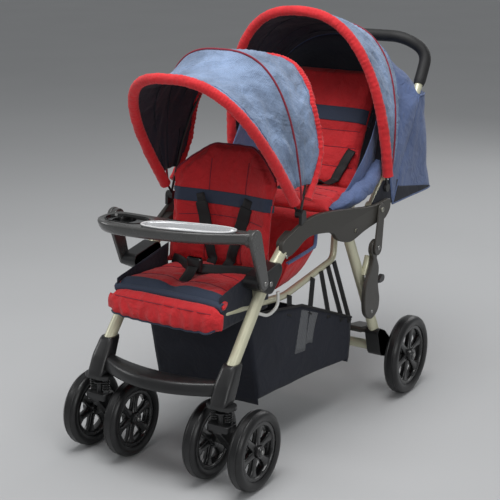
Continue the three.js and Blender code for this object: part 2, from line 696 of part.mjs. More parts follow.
function braceUpper(side) {
  const near = upperLinkInner;
  const ends = [[handlePivot.y, handlePivot.z, brace.upperRadius], [knee.y, knee.z, knee.radius]];
  const body = sidePlateOf(beltRound(ends), side, near, near + brace.upperThickness);
  const bores = [handlePivot, knee].map(pivot => sideRod(boltRadius + pinPlay, side, near - overrun,
    near + brace.upperThickness + overrun, pivot.y, pivot.z, 12));
  return cutFrom(body, ...bores);
}

const braceLowerShares = [[0.55, 0], [0.9, 0.07], [1, 0.2], [0.93, 0.32], [0.86, 0.45], [0.9, 0.62],
  [0.8, 0.72], [0.75, 0.78],
  [0.95, 0.88], [0.88, 0.97], [0.66, 1], [0.44, 0.96], [0.38, 0.87], [0.5, 0.78], [0.46, 0.7],
  [0.3, 0.6], [0.08, 0.46], [0, 0.28], [0.06, 0.12], [0.27, 0.03]];
const braceLowerBox = { frontY: 527, backY: 611, bottom: 250, top: 462 };

function braceLower(side) {
  const { frontY, backY, bottom, top } = braceLowerBox;
  const points = braceLowerShares.map(([along, up]) => [spread(frontY, backY, along), spread(bottom, top, up)]);
  const body = sidePlateOf(smoothOutline(points, 32), side, brace.inner, brace.inner + brace.thickness);
  const pin = sideRod(boltRadius, side, brace.inner + brace.thickness / 2,
    upperLinkInner + brace.upperThickness + overrun / 2, knee.y, knee.z, 12);
  const whole = join(body, pin);
  if (side < 0) return whole;
  const middle = brace.inner + brace.thickness / 2;
  const slot = block(middle - button.stemWidth / 2 - pinPlay, middle + button.stemWidth / 2 + pinPlay,
    braceLowerBox.backY - button.stemLength - button.gap - overrun * 2, braceLowerBox.backY + overrun,
    button.z - button.stemHeight / 2 - pinPlay, button.z + button.stemHeight / 2 + pinPlay);
  return cutFrom(whole, slot);
}

function releaseButton() {
  const middle = brace.inner + brace.thickness / 2;
  const capFront = braceLowerBox.backY - overrun / 2;
  const stem = block(middle - button.stemWidth / 2, middle + button.stemWidth / 2,
    capFront - button.stemLength, capFront + button.capLength / 2,
    button.z - button.stemHeight / 2, button.z + button.stemHeight / 2);
  const cap = extrudeX(beltRound([[capFront + button.capRadius / 2, button.z, button.capRadius / 2],
    [capFront + button.capLength, button.z + button.capRadius / 2, button.capRadius]], 12),
  middle - button.width / 2, middle + button.width / 2);
  return join(stem, cap);
}

// Seat frames
function frontSeatFrameGeometry() {
  const half = side => [[side * seatTube.x, frontSeatFrame.topY,
    rearSeatFrame.z - seatTube.radius - overrun],
    [side * seatTube.x, frontSeatFrame.kickY, frontSeatFrame.kickZ],
    [side * seatTube.x, frontSeatFrame.dipY, frontSeatFrame.dipZ],
    [side * seatTube.x, frontSeatFrame.frontY, frontSeatFrame.frontZ]];
  const stations = bentStations([...half(-1), ...half(1).reverse()], frontSeatFrame.bend, 2);
  const plates = [1, -1].map(side => sidePlateOf(
    beltRound([[sidePlate.lowY, sidePlate.lowZ, sidePlate.lowRadius],
      [sidePlate.highY, sidePlate.highZ, sidePlate.highRadius]]),
    side, hub.inner - clearance - sidePlate.thickness, hub.inner - clearance));
  const lugs = [1, -1].map(side => sideRod(sidePlate.lowRadius - overrun, side,
    seatTube.x - seatTube.radius / 2, hub.inner - sidePlate.thickness,
    sidePlate.lowY, sidePlate.lowZ, 12));
  return join(tube(stations, seatTube.radius, 8), ...plates, ...lugs);
}

function rearSeatFrameGeometry() {
  const { z, frontY, backY, bend, crossY } = rearSeatFrame;
  const corners = [[-seatTube.x, backY, z], [-seatTube.x, frontY, z], [seatTube.x, frontY, z],
    [seatTube.x, backY, z]];
  const loop = tube(bentStations(corners, bend, 2), seatTube.radius, 8);
  const reach = armInnerAt(crossY - seatTube.radius) - clearance;
  const cross = rodX(seatTube.radius, -reach, reach, crossY, z, 10);
  return join(loop, cross);
}

// Padded pieces: a crowned pillow whose sides draw in between its corners
function pad(size, seams = [], columns = 8, rows = 12) {
  const { halfWidth, y, z, length, lean, thickness, crown, taper = 0, arch = 0, hollow = 0 } = size;
  const along = [Math.cos(radians(lean)), Math.sin(radians(lean))];
  const out = [-along[1], along[0]];
  const top = [];
  const bottom = [];
  for (let row = 0; row <= rows; row++) {
    const w = Math.sin(Math.PI / 2 * spread(-1, 1, row / rows));
    const topRow = [];
    const bottomRow = [];
    for (let column = 0; column <= columns; column++) {
      const u = Math.sin(Math.PI / 2 * spread(-1, 1, column / columns));
      const fall = value => 1 - Math.abs(value) ** padDetail.edgePower;
      const edge = (fall(u) * fall(w)) ** padDetail.edgeRound;
      const x = halfWidth * u * (1 - padDetail.drawIn * (1 - w * w)) * (1 - taper * w);
      const rise = arch * (1 - Math.abs(u) ** 2.6) * ((w + 1) / 2) ** 2;
      const back = hollow * (1 - u * u);
      const s = length * (1 + w * (1 - padDetail.drawIn * (1 - u * u))) / 2 + rise;
      const swell = 1 + crown * (1 - u * u) * (1 - w * w);
      let depth = 0;
      for (const seam of seams) {
        const off = ((w + 1) / 2 - seam) / padDetail.seamWidth;
        depth += padDetail.seamDepth * Math.exp(-off * off);
      }
      const high = thickness / 2 * (1 + edge * swell) - depth * edge - back;
      const low = thickness / 2 * (1 - edge) - back;
      topRow.push([x, y + along[0] * s + out[0] * high, z + along[1] * s + out[1] * high]);
      bottomRow.push([x, y + along[0] * s + out[0] * low, z + along[1] * s + out[1] * low]);
    }
    top.push(topRow);
    bottom.push(bottomRow);
  }
  return sealedPair(top, bottom);
}

// Two grids that share their rim close into one body
function sealedPair(top, bottom) {
  const rows = top.length;
  const columns = top[0].length;
  const places = [];
  const index = [];
  const number = new Map();
  const vertex = (layer, row, column) => {
    const onRim = row === 0 || column === 0 || row === rows - 1 || column === columns - 1;
    const key = `${onRim ? 0 : layer}:${row}:${column}`;
    if (!number.has(key)) {
      number.set(key, places.length / 3);
      places.push(...(layer === 0 || onRim ? top : bottom)[row][column]);
    }
    return number.get(key);
  };
  for (const layer of [0, 1]) {
    for (let row = 0; row < rows - 1; row++) {
      for (let column = 0; column < columns - 1; column++) {
        const a = vertex(layer, row, column);
        const b = vertex(layer, row, column + 1);
        const c = vertex(layer, row + 1, column + 1);
        const d = vertex(layer, row + 1, column);
        if (layer === 0) index.push(a, b, c, a, c, d);
        else index.push(a, c, b, a, d, c);
      }
    }
  }
  return faced(places, index);
}

function seatCushion(size, seams) {
  return pad({ ...size, y: size.frontY, length: size.backY - size.frontY, lean: 0 }, seams);
}

// A fabric sling in front of the rear seat, where the rear child's feet rest
function footwellGeometry() {
  const topOfTube = y => seatTube.radius + overrun / 2 + spread(frontSeatFrame.dipZ, frontSeatFrame.kickZ,
    Math.max(0, (y - frontSeatFrame.dipY) / (frontSeatFrame.kickY - frontSeatFrame.dipY)));
  const wallY = rearSeatFrame.frontY - seatTube.radius - footwell.thickness - overrun;
  const floorEnd = wallY - footwell.sag;
  const line = [[footwell.frontY, topOfTube(footwell.frontY)],
    [spread(footwell.frontY, floorEnd, 1 / 3), 0], [spread(footwell.frontY, floorEnd, 2 / 3), 0],
    [floorEnd, 0]].map(([y, z]) => [y, z || topOfTube(y)]);
  line.push([wallY, topOfTube(wallY) + footwell.sag], [wallY + overrun, footwell.topZ]);
  const side = offset => line.map(([y, z], order) =>
    (order < 4 ? [y, z + offset] : [y - offset, z + offset / 2]));
  const grid = offset => side(offset).map(([y, z]) => Array.from({ length: 7 }, (_, step) => {
    const u = spread(-1, 1, step / 6);
    return [footwell.halfWidth * u, y, z];
  }));
  return shell(grid(footwell.thickness), grid(0));
}

// Canopies: hoops shaped as a flattened half ring
function hoopPoint(halfWidth, rise, lean, power, pivot, turn) {
  const across = Math.sign(Math.cos(turn)) * Math.abs(Math.cos(turn)) ** (2 / power);
  const up = Math.abs(Math.sin(turn)) ** (2 / power);
  const angle = radians(lean);
  return [halfWidth * across, pivot.y + rise * up * Math.cos(angle),
    pivot.z + rise * up * Math.sin(angle)];
}

// The cover's columns lie over the stations of its hoops, so that the gap between them is even
const coverTurns = Array.from({ length: 17 }, (_, step) =>
  Math.PI * spread(cover.startShare, 1 - cover.startShare, step / 16));

function hoopStations(halfWidth, rise, lean, power, pivot) {
  return [0, ...coverTurns, Math.PI].map(turn =>
    new THREE.Vector3(...hoopPoint(halfWidth, rise, lean, power, pivot, turn)));
}

function hoopEyes(halfWidth, pivot) {
  return [1, -1].map(side => sideRod(hoopTube.eyeRadius, side, halfWidth - hoopTube.eyeWidth / 2,
    halfWidth + hoopTube.eyeWidth / 2, pivot.y, pivot.z, 14));
}

function frontBow() {
  const bow = tube(hoopStations(frontHoops.bowX, frontHoops.bowRise, frontHoops.bowLean,
    hoopTube.frontPower, frontHoops), hoopTube.radius, 6);
  const bores = [1, -1].map(side => sideRod(pinRadius + pinPlay, side, frontHoops.bowX - hoopTube.eyeWidth,
    frontHoops.bowX + hoopTube.eyeWidth, frontHoops.y, frontHoops.z, 10));
  return cutFrom(join(bow, ...hoopEyes(frontHoops.bowX, frontHoops)), ...bores);
}

function frontHoop() {
  const hoop = tube(hoopStations(frontHoops.hoopX, frontHoops.hoopRise, frontHoops.hoopLean,
    hoopTube.frontPower, frontHoops), hoopTube.radius, 6);
  const clipNear = frontHoops.hoopX + hoopTube.eyeWidth / 2 - clearance;
  const clipFar = armOuterAt(frontHoops.y) - clearance;
  const [frontEnd, backEnd] = [frontHoops.y - hoopClip.halfDepth, frontHoops.y + hoopClip.halfDepth];
  const clipOutline = beltRound([[frontHoops.y, frontHoops.z, hoopTube.eyeRadius],
    [frontEnd, armTopAt(frontEnd) + hoopClip.play, 0],
    [backEnd, armTopAt(backEnd) + hoopClip.play, 0]]);
  const fittings = [1, -1].flatMap(side => [
    sidePlateOf(clipOutline, side, clipNear, clipFar),
    sideRod(pinRadius, side, frontHoops.bowX - hoopTube.eyeWidth / 2, clipNear + overrun, frontHoops.y,
      frontHoops.z, 10)]);
  return join(hoop, ...hoopEyes(frontHoops.hoopX, frontHoops), ...fittings);
}

function rearBow() {
  const bow = tube(hoopStations(rearHoops.bowX, rearHoops.bowRise, rearHoops.bowLean, hoopTube.rearPower,
    rearHoops), hoopTube.radius, 6);
  const pins = [1, -1].map(side => sideRod(pinRadius, side, handle.x + handle.radius + clearance,
    rearHoops.bowX, rearHoops.y, rearHoops.z, 10));
  return join(bow, ...hoopEyes(rearHoops.bowX, rearHoops), ...pins);
}

// The fabric of a canopy, stretched over its bow and a middle seam and sagging a little between them
function canopyCover(hoops, backX, backRise, backLean, power) {
  const rows = 6;
  const across = (start, middle, end, share) =>
    (share < 0.5 ? spread(start, middle, share * 2) : spread(middle, end, share * 2 - 1));
  const grid = lift => Array.from({ length: rows + 1 }, (_, row) => {
    const share = row / rows;
    const dip = (share < 0.5 ? hoops.frontSag : hoops.rearSag) * Math.abs(Math.sin(2 * Math.PI * share));
    const rise = across(hoops.bowRise, hoops.midRise, backRise, share) + lift;
    const lean = across(hoops.bowLean, hoops.midLean, backLean, share);
    const halfWidth = spread(hoops.bowX, backX, share) + lift;
    return coverTurns.map(turn =>
      hoopPoint(halfWidth, rise - dip * Math.sin(turn), lean, power, hoops, turn));
  });
  return shell(grid(hoops.lift + cover.thickness), grid(hoops.lift));
}

// The fabric boot behind the rear seat, open below and in front
function bootGeometry() {
  const rows = 5;
  const grid = inset => Array.from({ length: rows + 1 }, (_, row) => {
    const share = row / rows;
    const z = spread(boot.bottom, boot.top, share);
    const front = spread(boot.frontLowY, boot.frontTopY, share);
    const back = spread(boot.backLowY, boot.backTopY, share) - inset;
    const x = boot.x - inset;
    const corner = bootCorner.radius - inset;
    const half = [[x, front], [x, spread(front, back - corner, 0.5)], [x, back - corner],
      [x - corner * 0.3, back - corner * 0.3], [x - corner, back],
      [x / 2, back + bootCorner.bulge * 0.7], [0, back + bootCorner.bulge]];
    const mirrored = half.slice(0, -1).reverse().map(([a, b]) => [-a, b]);
    return [...half, ...mirrored].map(([a, b]) => [a, b, z]);
  });
  return shell(grid(0), grid(boot.wall));
}

// Tray and its lift-out dish
function trayGeometry() {
  const outline = smoothOutline(trayShares.map(([across, back]) => [across * tray.halfWidth,
    tray.frontY + back * tray.depth]), 36);
  const top = tray.bottom + tray.height;
  const plate = extrudeZ(outline, tray.bottom, top);
  const near = hub.outer + clearance;
  const arms = [1, -1].flatMap(side => [
    sidePlateOf(beltRound([[trayPivot.y, trayPivot.z, trayPivot.radius],
      [trayArm.shoulderY, trayArm.shoulderZ, trayArm.shoulderRadius]]),
      side, near, near + trayArm.thickness),
    sidePlateOf(beltRound([[trayArm.shoulderY, trayArm.shoulderZ, trayArm.shoulderRadius]], 14),
      side, near - trayArm.overlap, near + trayArm.thickness / 2),
    sideRod(pinRadius, side, hub.outer - legPivot.eyeWidth / 4, hub.outer + overrun, trayPivot.y,
      trayPivot.z, 10)]);
  const recess = extrudeZ(dishOutline(clearance * 2), top - dish.depth, top + trayArm.shoulderRadius);
  const cupWell = rodZ(cup.radius, top - cup.depth, top + overrun, cup.x, cup.y, 20);
  return cutFrom(join(plate, ...arms), recess, cupWell);
}

function dishOutline(grow) {
  const steps = 20;
  return Array.from({ length: steps }, (_, step) => {
    const turn = 2 * Math.PI * step / steps;
    const bend = value => Math.sign(value) * Math.abs(value) ** (2 / dish.power);
    const along = (dish.halfX + grow) * bend(Math.cos(turn));
    return [dish.x + along, dish.y + dish.slant * along + (dish.halfY + grow) * bend(Math.sin(turn))];
  });
}

function dishGeometry() {
  const top = tray.bottom + tray.height;
  const floor = top - dish.depth + clearance;
  const body = extrudeZ(dishOutline(0), floor, top);
  const hollow = extrudeZ(dishOutline(-dish.wall), floor + dish.wall, top + overrun);
  return cutFrom(body, hollow);
}

// Basket: an open-topped bag under both seats, wider at the back, hung from the seat frame by webbing straps
function basketGeometry() {
  const ends = [
    { x: basket.frontX, topY: basket.frontTopY, topZ: basket.frontTopZ, lowY: basket.frontLowY,
      lowZ: basket.frontLowZ, inward: 1 },
    { ...basketMid, inward: 0 },
    { ...basketRear, inward: -1 }];
  const ring = (end, wall, rise) => {
    const x = end.x - wall;
    const low = [end.lowY + end.inward * wall, end.lowZ + wall];
    const high = [end.topY + end.inward * wall, end.topZ + rise];
    return [[x, ...low], [x, ...high], [-x, ...high], [-x, ...low]];
  };
  const body = loft(ends.map(end => ring(end, 0, 0)));
  const hollow = loft(ends.map(end => ring(end, basket.wall, overrun * 2)));
  const straps = [1, -1].map(side => {
    const share = (strap.lowY - basketMid.topY) / (basketRear.topY - basketMid.topY);
    const foot = [side * (spread(basketMid.x, basketRear.x, share) - basket.wall / 2), strap.lowY,
      spread(basketMid.topZ, basketRear.topZ, share) - strap.width];
    const head = [side * (seatTube.x + seatTube.flatRadius + clearance + strap.thickness / 2), strap.highY,
      spread(frontSeatFrame.dipZ, frontSeatFrame.kickZ,
        (strap.highY - frontSeatFrame.dipY) / (frontSeatFrame.kickY - frontSeatFrame.dipY))];
    const section = ([x, y, z]) => [[x - strap.thickness / 2, y - strap.width / 2, z],
      [x + strap.thickness / 2, y - strap.width / 2, z],
      [x + strap.thickness / 2, y + strap.width / 2, z],
      [x - strap.thickness / 2, y + strap.width / 2, z]];
    return loft([section(foot), section(head)]);
  });
  return join(cutFrom(body, hollow), ...straps);
}

// Assembly
const stroller = new THREE.Group();
stroller.position.y = -frontAxleToMiddle;

function add(name, geometry, material, place = [0, 0, 0]) {
  const mesh = new THREE.Mesh(geometry, material);
  mesh.name = name;
  mesh.position.set(...place);
  stroller.add(mesh);
}

const sides = [['left', 1], ['right', -1]];
add('footrest', footrestGeometry(), finishes.blackPlastic);
for (const [name, side] of sides) {
  add(`front_leg_${name}`, frontLeg(side), finishes.creamPaint);
  add(`hub_${name}`, hubGeometry(side), finishes.blackPlastic);
  add(`arm_${name}`, armGeometry(side), finishes.greyPlastic);
  add(`caster_housing_${name}`, casterHousing(side), finishes.blackPlastic);
  add(`caster_fork_${name}`, casterFork(side), finishes.blackPlastic);
  add(`caster_axle_${name}`, casterAxle(side), finishes.steel);
  for (const [row, offset] of [['outer', side], ['inner', -side]]) {
    add(`spring_${name}_${row}`, casterSpring(side, offset * springs.offset), finishes.springSteel);
    const place = [side * caster.x + offset * caster.wheelOffset, 0, frontWheel.radius];
    add(`front_tyre_${name}_${row}`, tyreGeometry(frontWheel), finishes.tyre, place);
    add(`front_rim_${name}_${row}`, rimGeometry(frontWheel), finishes.blackPlastic, place);
  }
  add(`rear_leg_${name}`, rearLegGeometry(side), finishes.creamPaint);
  add(`rear_bracket_${name}`, rearBracketGeometry(side), finishes.blackPlastic);
  const rearPlace = [side * rearWheel.x, wheelbase, rearWheel.radius];
  add(`rear_tyre_${name}`, tyreGeometry(rearWheel), finishes.tyre, rearPlace);
  add(`rear_rim_${name}`, rimGeometry(rearWheel), finishes.blackPlastic, rearPlace);
  add(`brace_upper_${name}`, braceUpper(side), finishes.greyPlastic);
  add(`brace_lower_${name}`, braceLower(side), finishes.greyPlastic);
}
add('release_button', releaseButton(), finishes.blackPlastic);
add('rear_cross_tube', crossTubeGeometry(), finishes.creamPaint);
add('brake_bar', brakeBar(), finishes.greyPlastic);
add('handle_tube', handleTube(), finishes.creamPaint);
add('handle_grip', handleGrip(), finishes.foam);
add('front_seat_frame', frontSeatFrameGeometry(), finishes.creamPaint);
add('rear_seat_frame', rearSeatFrameGeometry(), finishes.creamPaint);
add('front_cushion', seatCushion(frontCushion, [0.3, 0.62]), finishes.redFabric);
add('front_backrest', pad(frontBack, [0.3, 0.52, 0.64]), finishes.redFabric);
add('calf_rest', pad(calfPad, [0.82], 8, 8), finishes.redFabric);
add('rear_cushion', seatCushion(rearCushion, [0.35, 0.65]), finishes.redFabric);
add('rear_backrest', pad(rearBack, [0.25, 0.45, 0.62]), finishes.redFabric);
add('rear_footwell', footwellGeometry(), finishes.redFabric);
add('front_canopy_bow', frontBow(), finishes.blackPlastic);
add('front_canopy_hoop', frontHoop(), finishes.blackPlastic);
add('front_canopy_cover', canopyCover(frontHoops, frontHoops.hoopX, frontHoops.hoopRise,
  frontHoops.hoopLean, hoopTube.frontPower),
  finishes.blueFabric);
add('rear_canopy_bow', rearBow(), finishes.blackPlastic);
add('rear_canopy_cover', canopyCover(rearHoops, rearHoops.hemX, rearHoops.hemRise, rearHoops.hemLean,
  hoopTube.rearPower),
  finishes.blueFabric);
add('rear_boot', bootGeometry(), finishes.denimFabric);
add('tray', trayGeometry(), finishes.greyPlastic);
add('tray_dish', dishGeometry(), finishes.dishPlastic);
add('basket', basketGeometry(), finishes.navyFabric);

console.log(`least gap between the curls of a caster spring: ${springLeastGap().toFixed(2)} mm`);

export default stroller;
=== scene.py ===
"""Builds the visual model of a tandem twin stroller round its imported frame.

Sizes in the code are millimetres in the stroller's own measure: x from the middle to the child's left,
y back from the front wheel axles, z up from the floor. The function at() turns them into metres.
"""

from math import copysign, cos, exp, pi, radians, sin

import bmesh
import bpy
from bpy.props import FloatProperty, FloatVectorProperty, IntProperty, PointerProperty
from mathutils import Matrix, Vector, noise
from mathutils.bvhtree import BVHTree
from mathutils.kdtree import KDTree


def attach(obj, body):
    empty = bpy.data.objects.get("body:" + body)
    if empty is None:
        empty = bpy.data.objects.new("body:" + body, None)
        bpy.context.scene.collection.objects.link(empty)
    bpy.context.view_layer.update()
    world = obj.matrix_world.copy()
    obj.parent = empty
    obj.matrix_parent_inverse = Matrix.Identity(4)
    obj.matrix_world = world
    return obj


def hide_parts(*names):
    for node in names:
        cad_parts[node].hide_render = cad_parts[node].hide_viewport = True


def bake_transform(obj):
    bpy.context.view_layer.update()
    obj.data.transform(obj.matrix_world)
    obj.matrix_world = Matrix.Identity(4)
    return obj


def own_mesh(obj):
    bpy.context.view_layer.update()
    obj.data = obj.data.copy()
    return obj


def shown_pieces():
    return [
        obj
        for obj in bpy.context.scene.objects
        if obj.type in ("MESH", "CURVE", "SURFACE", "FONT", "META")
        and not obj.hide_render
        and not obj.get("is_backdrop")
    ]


bl_info = {
    "name": "Tandem Stroller",
    "version": (1, 0, 0),
    "blender": (4, 5, 0),
    "location": "View3D > Sidebar > Stroller",
    "description": "Builds the fabrics, mouldings and finishes of a tandem twin stroller",
    "category": "Add Mesh",
}

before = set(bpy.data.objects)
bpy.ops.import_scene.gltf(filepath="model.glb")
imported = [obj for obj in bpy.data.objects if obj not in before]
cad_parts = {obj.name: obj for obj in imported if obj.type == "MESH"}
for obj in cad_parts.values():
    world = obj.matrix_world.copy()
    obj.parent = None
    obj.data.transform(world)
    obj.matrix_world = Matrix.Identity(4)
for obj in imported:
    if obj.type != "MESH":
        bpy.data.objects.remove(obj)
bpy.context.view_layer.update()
AXLE_TO_MIDDLE = 443.5
SIDES = (("left", 1), ("right", -1))
ACROSS = Vector((1, 0, 0))


def at(x, y, z):
    """A point given in millimetres from the middle, the front axles and the floor."""
    return Vector((x, y - AXLE_TO_MIDDLE, z)) / 1000


def run(side, *corners):
    """Points for one side of the stroller, from corners given for its left side."""
    return [at(side * x, y, z) for x, y, z in corners]


def both_sides(*corners):
    """A run of points from the right side over to the left, from corners given for the left."""
    return run(-1, *corners) + run(1, *corners[::-1])


def straight(foot, head):
    return [foot, foot.lerp(head, 0.5), head]


def between(low, high, share):
    return low + (high - low) * share


def spread(low, high, count):
    """Evenly spaced values, both ends included."""
    return [between(low, high, k / count) for k in range(count + 1)]


def blunt(value, power):
    """A power that keeps the sign, which squares off a circle's sine and cosine."""
    return copysign(abs(value) ** power, value)


def noise_at(a, b, c):
    return noise.noise(Vector((a, b, c)))


def linear(code):
    """The linear colour of an sRGB hex value."""
    parts = [int(code[i : i + 2], 16) / 255 for i in (1, 3, 5)]
    parts = [c / 12.92 if c <= 0.04045 else ((c + 0.055) / 1.055) ** 2.4 for c in parts]
    return (*parts, 1.0)


def swatch(name, description, code):
    """A colour property with a default given as sRGB hex."""
    return FloatVectorProperty(name=name, description=description, subtype="COLOR", size=4, min=0, max=1,
                               default=linear(code))


def length(name, description, default, low, high):
    return FloatProperty(name=name, description=description, default=default, min=low, max=high, unit="LENGTH")


class StrollerColours(bpy.types.PropertyGroup):
    """Colours of the fabrics and finishes."""

    red: swatch("Red", "Seat fabric and canopy edging", "#cb2229")
    chambray: swatch("Chambray", "Outside of the canopies", "#71839f")
    denim: swatch("Denim", "Boot behind the rear seat", "#5d6f99")
    navy: swatch("Navy", "Canopy lining, side panels and basket", "#1b1f2c")
    slate: swatch("Slate", "Bands across the seats", "#333d51")
    paint: swatch("Tube paint", "Painted steel tubes", "#d3d1b6")
    moulding: swatch("Grey mouldings", "Side arms and brace links", "#3c3a36")


class StrollerSizes(bpy.types.PropertyGroup):
    """Sizes of the sewn details, in metres."""

    pleat: length("Pleat spacing", "Distance between the gathers of the red edging", 0.014, 0.005, 0.05)
    crease: length("Crease height", "How far the canopy cloth creases", 0.009, 0, 0.02)
    piping: length("Piping", "Radius of the piping along a seam", 0.0026, 0.001, 0.006)
    voxel: length("Pad voxel", "Voxel of a pad's remesh before it is filled", 0.006, 0.003, 0.02)
    fill_steps: IntProperty(
        name="Fill steps", description="Simulation steps that fill a pad", default=16, min=1, max=40)


def colours():
    return bpy.context.scene.stroller_colours


def sizes():
    return bpy.context.scene.stroller_sizes


# Materials

made_materials = {}
# A wave texture repeats every 0.314 of its scaled coordinate, so this over a spacing gives its scale
WAVE = 0.314159


def node(tree, kind, values, made=None):
    """Adds a node and fills it in: a socket among the values is linked, the rest are properties and inputs."""
    made = made or tree.nodes.new("ShaderNode" + kind)
    for key, value in values.items():
        if isinstance(value, bpy.types.NodeSocket):
            tree.links.new(value, made.inputs[key])
        elif isinstance(key, str) and hasattr(made, key):
            setattr(made, key, value)
        else:
            made.inputs[key].default_value = value
    return made


def start(name):
    """A new material, its node tree, and the object coordinates that place its patterns."""
    made = bpy.data.materials.new(name)
    made.use_nodes = True
    return made, made.node_tree, node(made.node_tree, "TexCoord", {}).outputs["Object"]


def shader(tree, values):
    node(tree, "", values, tree.nodes["Principled BSDF"])


def speckle(tree, place, size_mm, **values):
    """Noise with features of about a real size."""
    return node(tree, "TexNoise", {"Scale": 1000 / size_mm, **values, "Vector": place}).outputs["Fac"]


def stripes(tree, place, way, spacing_mm, **values):
    """Bands across one axis, a real distance apart."""
    return node(tree, "TexWave", {"wave_type": "BANDS", "bands_direction": way, "Scale": WAVE * 1000 / spacing_mm,
                                  **values, "Vector": place}).outputs["Fac"]


def remap(tree, value, low, high, to_low, to_high):
    return node(tree, "MapRange", {"From Min": low, "From Max": high, "To Min": to_low, "To Max": to_high,
                                   "Value": value}).outputs["Result"]


def maths(tree, operation, *values, **settings):
    return node(tree, "Math", {"operation": operation, **settings, **dict(enumerate(values))}).outputs["Value"]


def mix(tree, first, second, factor=1.0, blend="MIX"):
    return node(tree, "Mix", {"data_type": "RGBA", "blend_type": blend, "Factor": factor, "A": first,
                              "B": second}).outputs["Result"]


def ramp(tree, value, *stops):
    made = node(tree, "ValToRGB", {"Fac": value})
    for stop, (position, colour) in zip(made.color_ramp.elements, stops):
        stop.position, stop.color = position, colour
    return made.outputs["Color"]


def bump(tree, height, strength, depth_mm, **values):
    return node(tree, "Bump", {"Strength": strength, "Distance": depth_mm / 1000, "Height": height,
                               **values}).outputs["Normal"]


def paler(colour, factor, lift):
    return (*(min(1.0, c * factor + lift) for c in colour[:3]), 1.0)


def shades(colour, *factors):
    return [(colour[0] * f, colour[1] * f, colour[2] * f, 1.0) for f in factors]


def woven(name, colour, second=None, shade=(1, 1), thread_mm=2.4, sheen=0.15, puckers=1.0, crease_mm=30, patchy=0.1):
    """Plain-weave cloth: two sets of threads, a slight fade in patches, and soft creases.

    A real thread is 0.3 mm, which would not show, so thread_mm draws it coarser.
    """
    made, tree, place = start(name)
    facing = node(tree, "SeparateXYZ", {"Vector": node(tree, "NewGeometry", {}).outputs["True Normal"]})
    threads = None
    for way in "XYZ":
        bands = stripes(tree, place, way, thread_mm, Distortion=1.2, Detail=1.0)
        square = maths(tree, "MULTIPLY", facing.outputs[way], facing.outputs[way])
        part = maths(tree, "MULTIPLY", bands, remap(tree, square, 0.0, 0.8, 1.0, 0.0))
        threads = part if threads is None else maths(tree, "ADD", threads, part)
    weave = maths(tree, "MULTIPLY", threads, 0.5)
    slubs = maths(tree, "MULTIPLY_ADD", speckle(tree, place, 2.6, Detail=3.0, Roughness=0.7), 0.9, weave)
    fade = remap(tree, speckle(tree, place, 70, Detail=3.0), 0.3, 0.75, 1 - patchy, 1 + patchy)
    folds = speckle(tree, place, crease_mm, Detail=4.0, Roughness=0.55, Distortion=0.7)
    soft = bump(tree, folds, 0.7, 6 * puckers)
    dark, pale = (colour, second) if second else shades(colour, *shade)
    shader(tree, {"Base Color": mix(tree, ramp(tree, slubs, (0.4, dark), (1.0, pale)), fade, blend="MULTIPLY"),
                  "Normal": bump(tree, weave, 0.35, 0.4, Normal=soft),
                  "Roughness": 0.82, "Sheen Weight": sheen, "Sheen Roughness": 0.5})
    return made


def moulded(name, colour, roughness, grain_mm=0.9, grain=0.25, coat=0.0, wear=0.25):
    """Injection-moulded plastic: a fine spark-eroded grain, and gloss that varies a little where hands rub it."""
    made, tree, place = start(name)
    rubbed = speckle(tree, place, 45, Detail=4.0, Roughness=0.6)
    worn = remap(tree, node(tree, "NewGeometry", {}).outputs["Pointiness"], 0.52, 0.62, 0.0, wear)
    tone = remap(tree, rubbed, 0.3, 0.7, 0.0, 0.12)
    shader(tree, {"Base Color": mix(tree, colour, paler(colour, 1.9, 0.02),
                                    maths(tree, "ADD", worn, tone, use_clamp=True)),
                  "Roughness": remap(tree, rubbed, 0.3, 0.7, roughness - 0.07, roughness + 0.09),
                  "Normal": bump(tree, speckle(tree, place, grain_mm, Detail=2.0), grain, 0.3),
                  "Coat Weight": coat, "Coat Roughness": 0.12})
    return made


def painted_tube(name, colour):
    """Powder-coated steel tube: a satin skin with faint orange peel and specks, slightly scuffed."""
    made, tree, place = start(name)
    specks = node(tree, "TexVoronoi", {"Scale": 1000 / 2.4, "Vector": place}).outputs["Distance"]
    scuffs = speckle(tree, place, 18, Detail=5.0, Roughness=0.7)
    shader(tree, {"Base Color": mix(tree, colour, remap(tree, specks, 0.0, 0.35, 0.9, 1.03), blend="MULTIPLY"),
                  "Roughness": remap(tree, scuffs, 0.3, 0.75, 0.28, 0.46),
                  "Normal": bump(tree, speckle(tree, place, 2.2, Detail=2.0), 0.2, 0.4),
                  "Metallic": 0.25, "Coat Weight": 0.2})
    return made


def celled(name, colour, cell_mm, roughness, depth_mm=0.8):
    """Foam or rubber: closed cells or moulding texture that break up the light, with dust in patches."""
    made, tree, place = start(name)
    cells = node(tree, "TexVoronoi", {"Scale": 1000 / cell_mm, "Vector": place}).outputs["Distance"]
    dust = remap(tree, speckle(tree, place, 26, Detail=5.0, Roughness=0.65), 0.45, 0.8, 0.0, 0.5)
    shader(tree, {"Base Color": mix(tree, colour, paler(colour, 1.7, 0.012), dust),
                  "Normal": bump(tree, cells, 0.35, depth_mm), "Roughness": roughness})
    return made


def netting(name, thread, gap, spacing_mm=3.2):
    """Warp-knitted mesh: dark threads over the pale light that comes through. Real holes are 2 mm."""
    made, tree, place = start(name)
    grid = maths(tree, "MULTIPLY", *(stripes(tree, place, way, spacing_mm, wave_profile="TRI") for way in "YZ"))
    shader(tree, {"Base Color": ramp(tree, grid, (0.08, thread), (0.35, gap)),
                  "Normal": bump(tree, grid, 0.4, 0.6, invert=True), "Roughness": 0.75})
    return made


